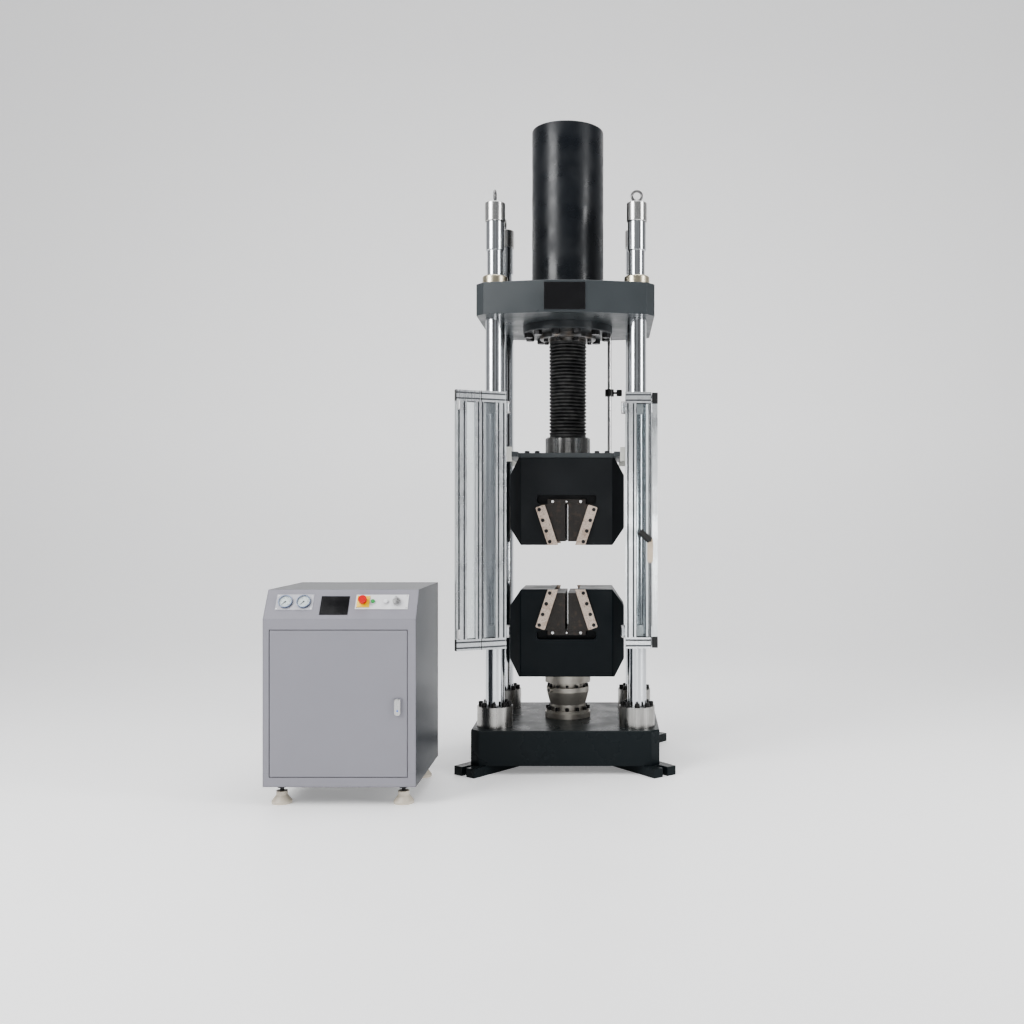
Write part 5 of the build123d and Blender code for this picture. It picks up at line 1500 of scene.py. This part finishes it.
    def numeral(self, name: str, text: str, at: Matrix) -> None:
        """Make one dial number as a mesh.

        Args:
            name: Object name.
            text: The number.
            at: Placement.
        """
        curve = bpy.data.curves.new(name, "FONT")
        curve.body, curve.size, curve.align_x, curve.align_y = text, self.figure_size, "CENTER", "CENTER"
        curve.extrude = 0.00005
        holder = bpy.data.objects.new(name + "_text", curve)
        bpy.context.scene.collection.objects.link(holder)
        bpy.context.view_layer.update()
        mesh = bpy.data.meshes.new_from_object(holder.evaluated_get(bpy.context.evaluated_depsgraph_get()))
        bpy.data.objects.remove(holder)
        mesh.transform(at)
        mesh.materials.clear()
        mesh.materials.append(Palette.of(INK))
        made = placed(name, mesh)
        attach(made, Body.FRAME.value)

    def controls(self) -> None:
        """Make the yellow stop square and the screws of the plates."""
        square = Shape()
        square.box((0, 0, 0.00215), self.stop_square, 0.0003, self.panel(*self.stop_spot, self.plate_lift))
        square.piece("stop_square", Body.FRAME, YELLOW_PLASTIC, "panel_plate")
        screws = Shape()
        for x, rise, wide, high in self.plates:
            across, up = wide / 2 - self.plate_screw_inset, high / 2 - self.plate_screw_inset
            for sx in (-1, 1):
                for sy in (-1, 1):
                    spot = self.panel(x + sx * across, rise + sy * up, self.plate_lift)
                    screws.disc(0.0024, 0, 0.0009, spot, 0.0004, 16)
        screws.piece("panel_screws", Body.FRAME, BRIGHT, "bright_steel")

    def lever_dot(self) -> None:
        """Make the blue dot on the door's lever."""
        dot = Shape()
        dot.disc(0.004, -0.0008, 0.0001, upright(Vector((0, -1, 0)), Vector(self.lever_lock)), 0.0004, 20)
        dot.piece("lever_lock_dot", Body.LEVER, BLUE_PLASTIC, "pointer_black")

    def foot_washers(self) -> None:
        """Make the black washers between the cabinet's shell and its feet."""
        low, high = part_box("cabinet_feet")
        shape = Shape()
        for x in (low.x + self.foot_inset, high.x - self.foot_inset):
            for y in (low.y + self.foot_inset, high.y - self.foot_inset):
                shape.disc(0.011, 0.0, 0.003, Matrix.Translation((x, y, self.washer_level)), 0.0005, 24)
        shape.piece("foot_washers", Body.FRAME, BLACK_OXIDE, "black_oxide")


# ---------------------------------------------------------------- studio


@dataclass(frozen=True)
class Lamp:
    """One soft area light.

    Args:
        name: Light name.
        spot: Where it is.
        aim: Where it points.
        size: Width and height.
        power: Watts.
    """

    name: str
    spot: Point
    aim: Point
    size: tuple[float, float]
    power: float

    def hang(self) -> None:
        """Add the light."""
        data = bpy.data.lights.new(self.name, "AREA")
        data.shape = "RECTANGLE"
        data.size, data.size_y = self.size
        data.energy = self.power
        lamp = bpy.data.objects.new(self.name, data)
        lamp.location = self.spot
        lamp.rotation_euler = (Vector(self.aim) - Vector(self.spot)).to_track_quat("-Z", "Y").to_euler()
        bpy.context.scene.collection.objects.link(lamp)


@dataclass(frozen=True)
class Studio:
    """Pale floor, soft surroundings, lights and the photograph's camera.

    Args:
        floor_color: Tone of the floor and the backdrop.
        floor_glow: Their own light, which keeps them pale.
        floor_half: Half the floor's width.
        floor_front: Its front edge.
        floor_back: Where it starts to curve up.
        sweep_radius: Radius of the curve.
        sweep_steps: Facets of the curve.
        backdrop_top: Height of the backdrop.
        camera_spot: Where the camera stands.
        lens: Its focal length in millimetres.
        shift: Its lens shift across and up.
        lamps: The area lights.
        world_strength: Strength of the surroundings.
        bands: Place round the horizon and brightness of each soft band.
        panels: Middle, size and colour of each dark card.
    """

    floor_color: Color = (0.9, 0.9, 0.9)
    floor_glow: float = 0.22
    floor_half: float = 9.0
    floor_front: float = -7.0
    floor_back: float = 4.0
    sweep_radius: float = 2.0
    sweep_steps: int = 12
    backdrop_top: float = 12.0
    camera_spot: Point = (0.185, -5.139, 1.165)
    lens: float = 37.27
    shift: tuple[float, float] = (-0.0918, 0.0039)
    lamps: tuple[Lamp, ...] = (
        Lamp("key_left", (-3.6, -3.4, 3.6), (0, 0, 1.2), (2.2, 3.0), 190.0),
        Lamp("fill_right", (4.2, -2.4, 2.4), (0, 0, 1.4), (1.2, 3.6), 120.0),
        Lamp("overhead", (0, -0.6, 5.4), (0, 0, 0), (4.0, 3.0), 120.0),
        Lamp("front_low", (0.4, -6.5, 0.9), (-0.2, 0, 1.0), (3.0, 1.0), 45.0),
    )
    world_strength: float = 0.75
    bands: tuple[tuple[float, float], ...] = (
        (0.0, 0.3), (0.04, 0.55), (0.08, 0.2), (0.13, 0.9), (0.2, 1.0), (0.24, 0.3), (0.32, 0.6),
        (0.4, 0.9), (0.6, 0.9), (0.68, 0.5), (0.76, 0.25), (0.82, 0.95), (0.87, 0.9), (0.91, 0.18),
        (0.96, 0.5), (1.0, 0.3),
    )
    panels: tuple[tuple[Point, Point, Color], ...] = (
        ((-1.9, -6.4, 1.6), (0.9, 0.02, 3.6), (0.015, 0.015, 0.017)),
        ((2.3, -6.0, 1.6), (0.7, 0.02, 3.6), (0.015, 0.015, 0.017)),
    )

    def build(self) -> None:
        """Set up the studio."""
        self.surroundings()
        for lamp in self.lamps:
            lamp.hang()
        self.floor()
        self.dark_panels()
        self.camera()
        view = bpy.context.scene.view_settings
        view.view_transform = "AgX"
        view.look = "AgX - Medium High Contrast"
        view.exposure = 0.0

    def surroundings(self) -> None:
        """Make a world of dim grey with soft bright bands, so that chrome and gloss paint show streaks."""
        world = bpy.data.worlds.new("studio_world")
        world.use_nodes = True
        nodes, links = world.node_tree.nodes, world.node_tree.links
        coordinates = nodes.new("ShaderNodeTexCoord")
        split = nodes.new("ShaderNodeSeparateXYZ")
        links.new(coordinates.outputs["Generated"], split.inputs[0])
        around = nodes.new("ShaderNodeMath")
        around.operation = "ARCTAN2"
        links.new(split.outputs["X"], around.inputs[0])
        links.new(split.outputs["Y"], around.inputs[1])
        share = nodes.new("ShaderNodeMapRange")
        links.new(around.outputs[0], share.inputs["Value"])
        share.inputs["From Min"].default_value, share.inputs["From Max"].default_value = -math.pi, math.pi
        ramp = nodes.new("ShaderNodeValToRGB")
        links.new(share.outputs[0], ramp.inputs["Fac"])
        points = ramp.color_ramp.elements
        while len(points) > 1:
            points.remove(points[-1])
        points[0].position, points[0].color = self.bands[0][0], (self.bands[0][1],) * 3 + (1,)
        for place, level in self.bands[1:]:
            points.new(place).color = (level, level, level * 1.02, 1)
        links.new(ramp.outputs["Color"], nodes["Background"].inputs["Color"])
        nodes["Background"].inputs["Strength"].default_value = self.world_strength
        bpy.context.scene.world = world

    def floor(self) -> None:
        """Make the pale floor that runs up into a backdrop."""
        bm = bmesh.new()
        radius = self.sweep_radius
        outline = [(self.floor_front, 0.0)]
        for step in range(self.sweep_steps + 1):
            angle = math.pi / 2 * step / self.sweep_steps
            outline.append((self.floor_back + radius * math.sin(angle), radius - radius * math.cos(angle)))
        outline.append((self.floor_back + radius, self.backdrop_top))
        rows = [[bm.verts.new((x, y, z)) for y, z in outline] for x in (-self.floor_half, self.floor_half)]
        for step in range(len(outline) - 1):
            bm.faces.new((rows[0][step], rows[1][step], rows[1][step + 1], rows[0][step + 1]))
        for face in bm.faces:
            face.smooth = True
        mesh = bpy.data.meshes.new("floor")
        bm.to_mesh(mesh)
        bm.free()
        floor = placed("floor", mesh)
        shader = Shader("pale_floor")
        shader.bsdf.inputs["Base Color"].default_value = (*self.floor_color, 1)
        shader.put(shader.bsdf.inputs["Roughness"], shader.span(shader.noise(3.0), 0.42, 0.55))
        shader.bsdf.inputs["Emission Color"].default_value = (1, 1, 1, 1)
        shader.bsdf.inputs["Emission Strength"].default_value = self.floor_glow
        mesh.materials.append(shader.material)

    def dark_panels(self) -> None:
        """Stand dark cards beside the camera: chrome and gloss paint need something dark to mirror."""
        for number, (centre, size, color) in enumerate(self.panels):
            shape = Shape()
            shape.box(centre, size)
            mesh = bpy.data.meshes.new(f"dark_card_{number}")
            shape.bm.to_mesh(mesh)
            shape.bm.free()
            card = placed(mesh.name, mesh)
            shader = Shader(mesh.name)
            shader.bsdf.inputs["Base Color"].default_value = (*color, 1)
            shader.bsdf.inputs["Roughness"].default_value = 0.9
            mesh.materials.append(shader.material)

    def camera(self) -> None:
        """Place the camera where the photograph was taken from."""
        data = bpy.data.cameras.new("camera")
        data.lens, data.sensor_width, data.sensor_fit = self.lens, 36.0, "HORIZONTAL"
        data.shift_x, data.shift_y = self.shift
        data.dof.use_dof = False
        data.clip_start, data.clip_end = 0.05, 100.0
        camera = bpy.data.objects.new("camera", data)
        camera.location = self.camera_spot
        camera.rotation_euler = (math.pi / 2, 0, 0)
        bpy.context.scene.collection.objects.link(camera)
        bpy.context.scene.camera = camera


def clear_scene() -> None:
    """Remove whatever the start-up file holds."""
    for thing in list(bpy.data.objects):
        bpy.data.objects.remove(thing, do_unlink=True)


def main() -> None:
    """Build the whole visual model."""
    LOG.setLevel(logging.INFO)
    LOG.addHandler(logging.StreamHandler())
    clear_scene()
    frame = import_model()
    nodes = frame["nodes"]
    assemblies = [
        LoadFrame(nodes),
        Cylinder(nodes),
        LoadCell(nodes),
        GripHead(nodes),
        GripHead(nodes, "lower", Body.FRAME, Body.LOWER_CARRIER, 0.820, -1),
        GuidePlate(nodes),
        Guard(nodes),
        Guard(
            nodes, "left", inner_body=Body.LEFT_INNER, outer_body=Body.LEFT_OUTER, outer_ends=(0.129, 0.245)
        ),
        Cabinet(nodes),
    ]
    for assembly in assemblies:
        LOG.info("assembly %s", type(assembly).__name__)
        assembly.build()
    Studio().build()


if __name__ == "__main__":
    main()
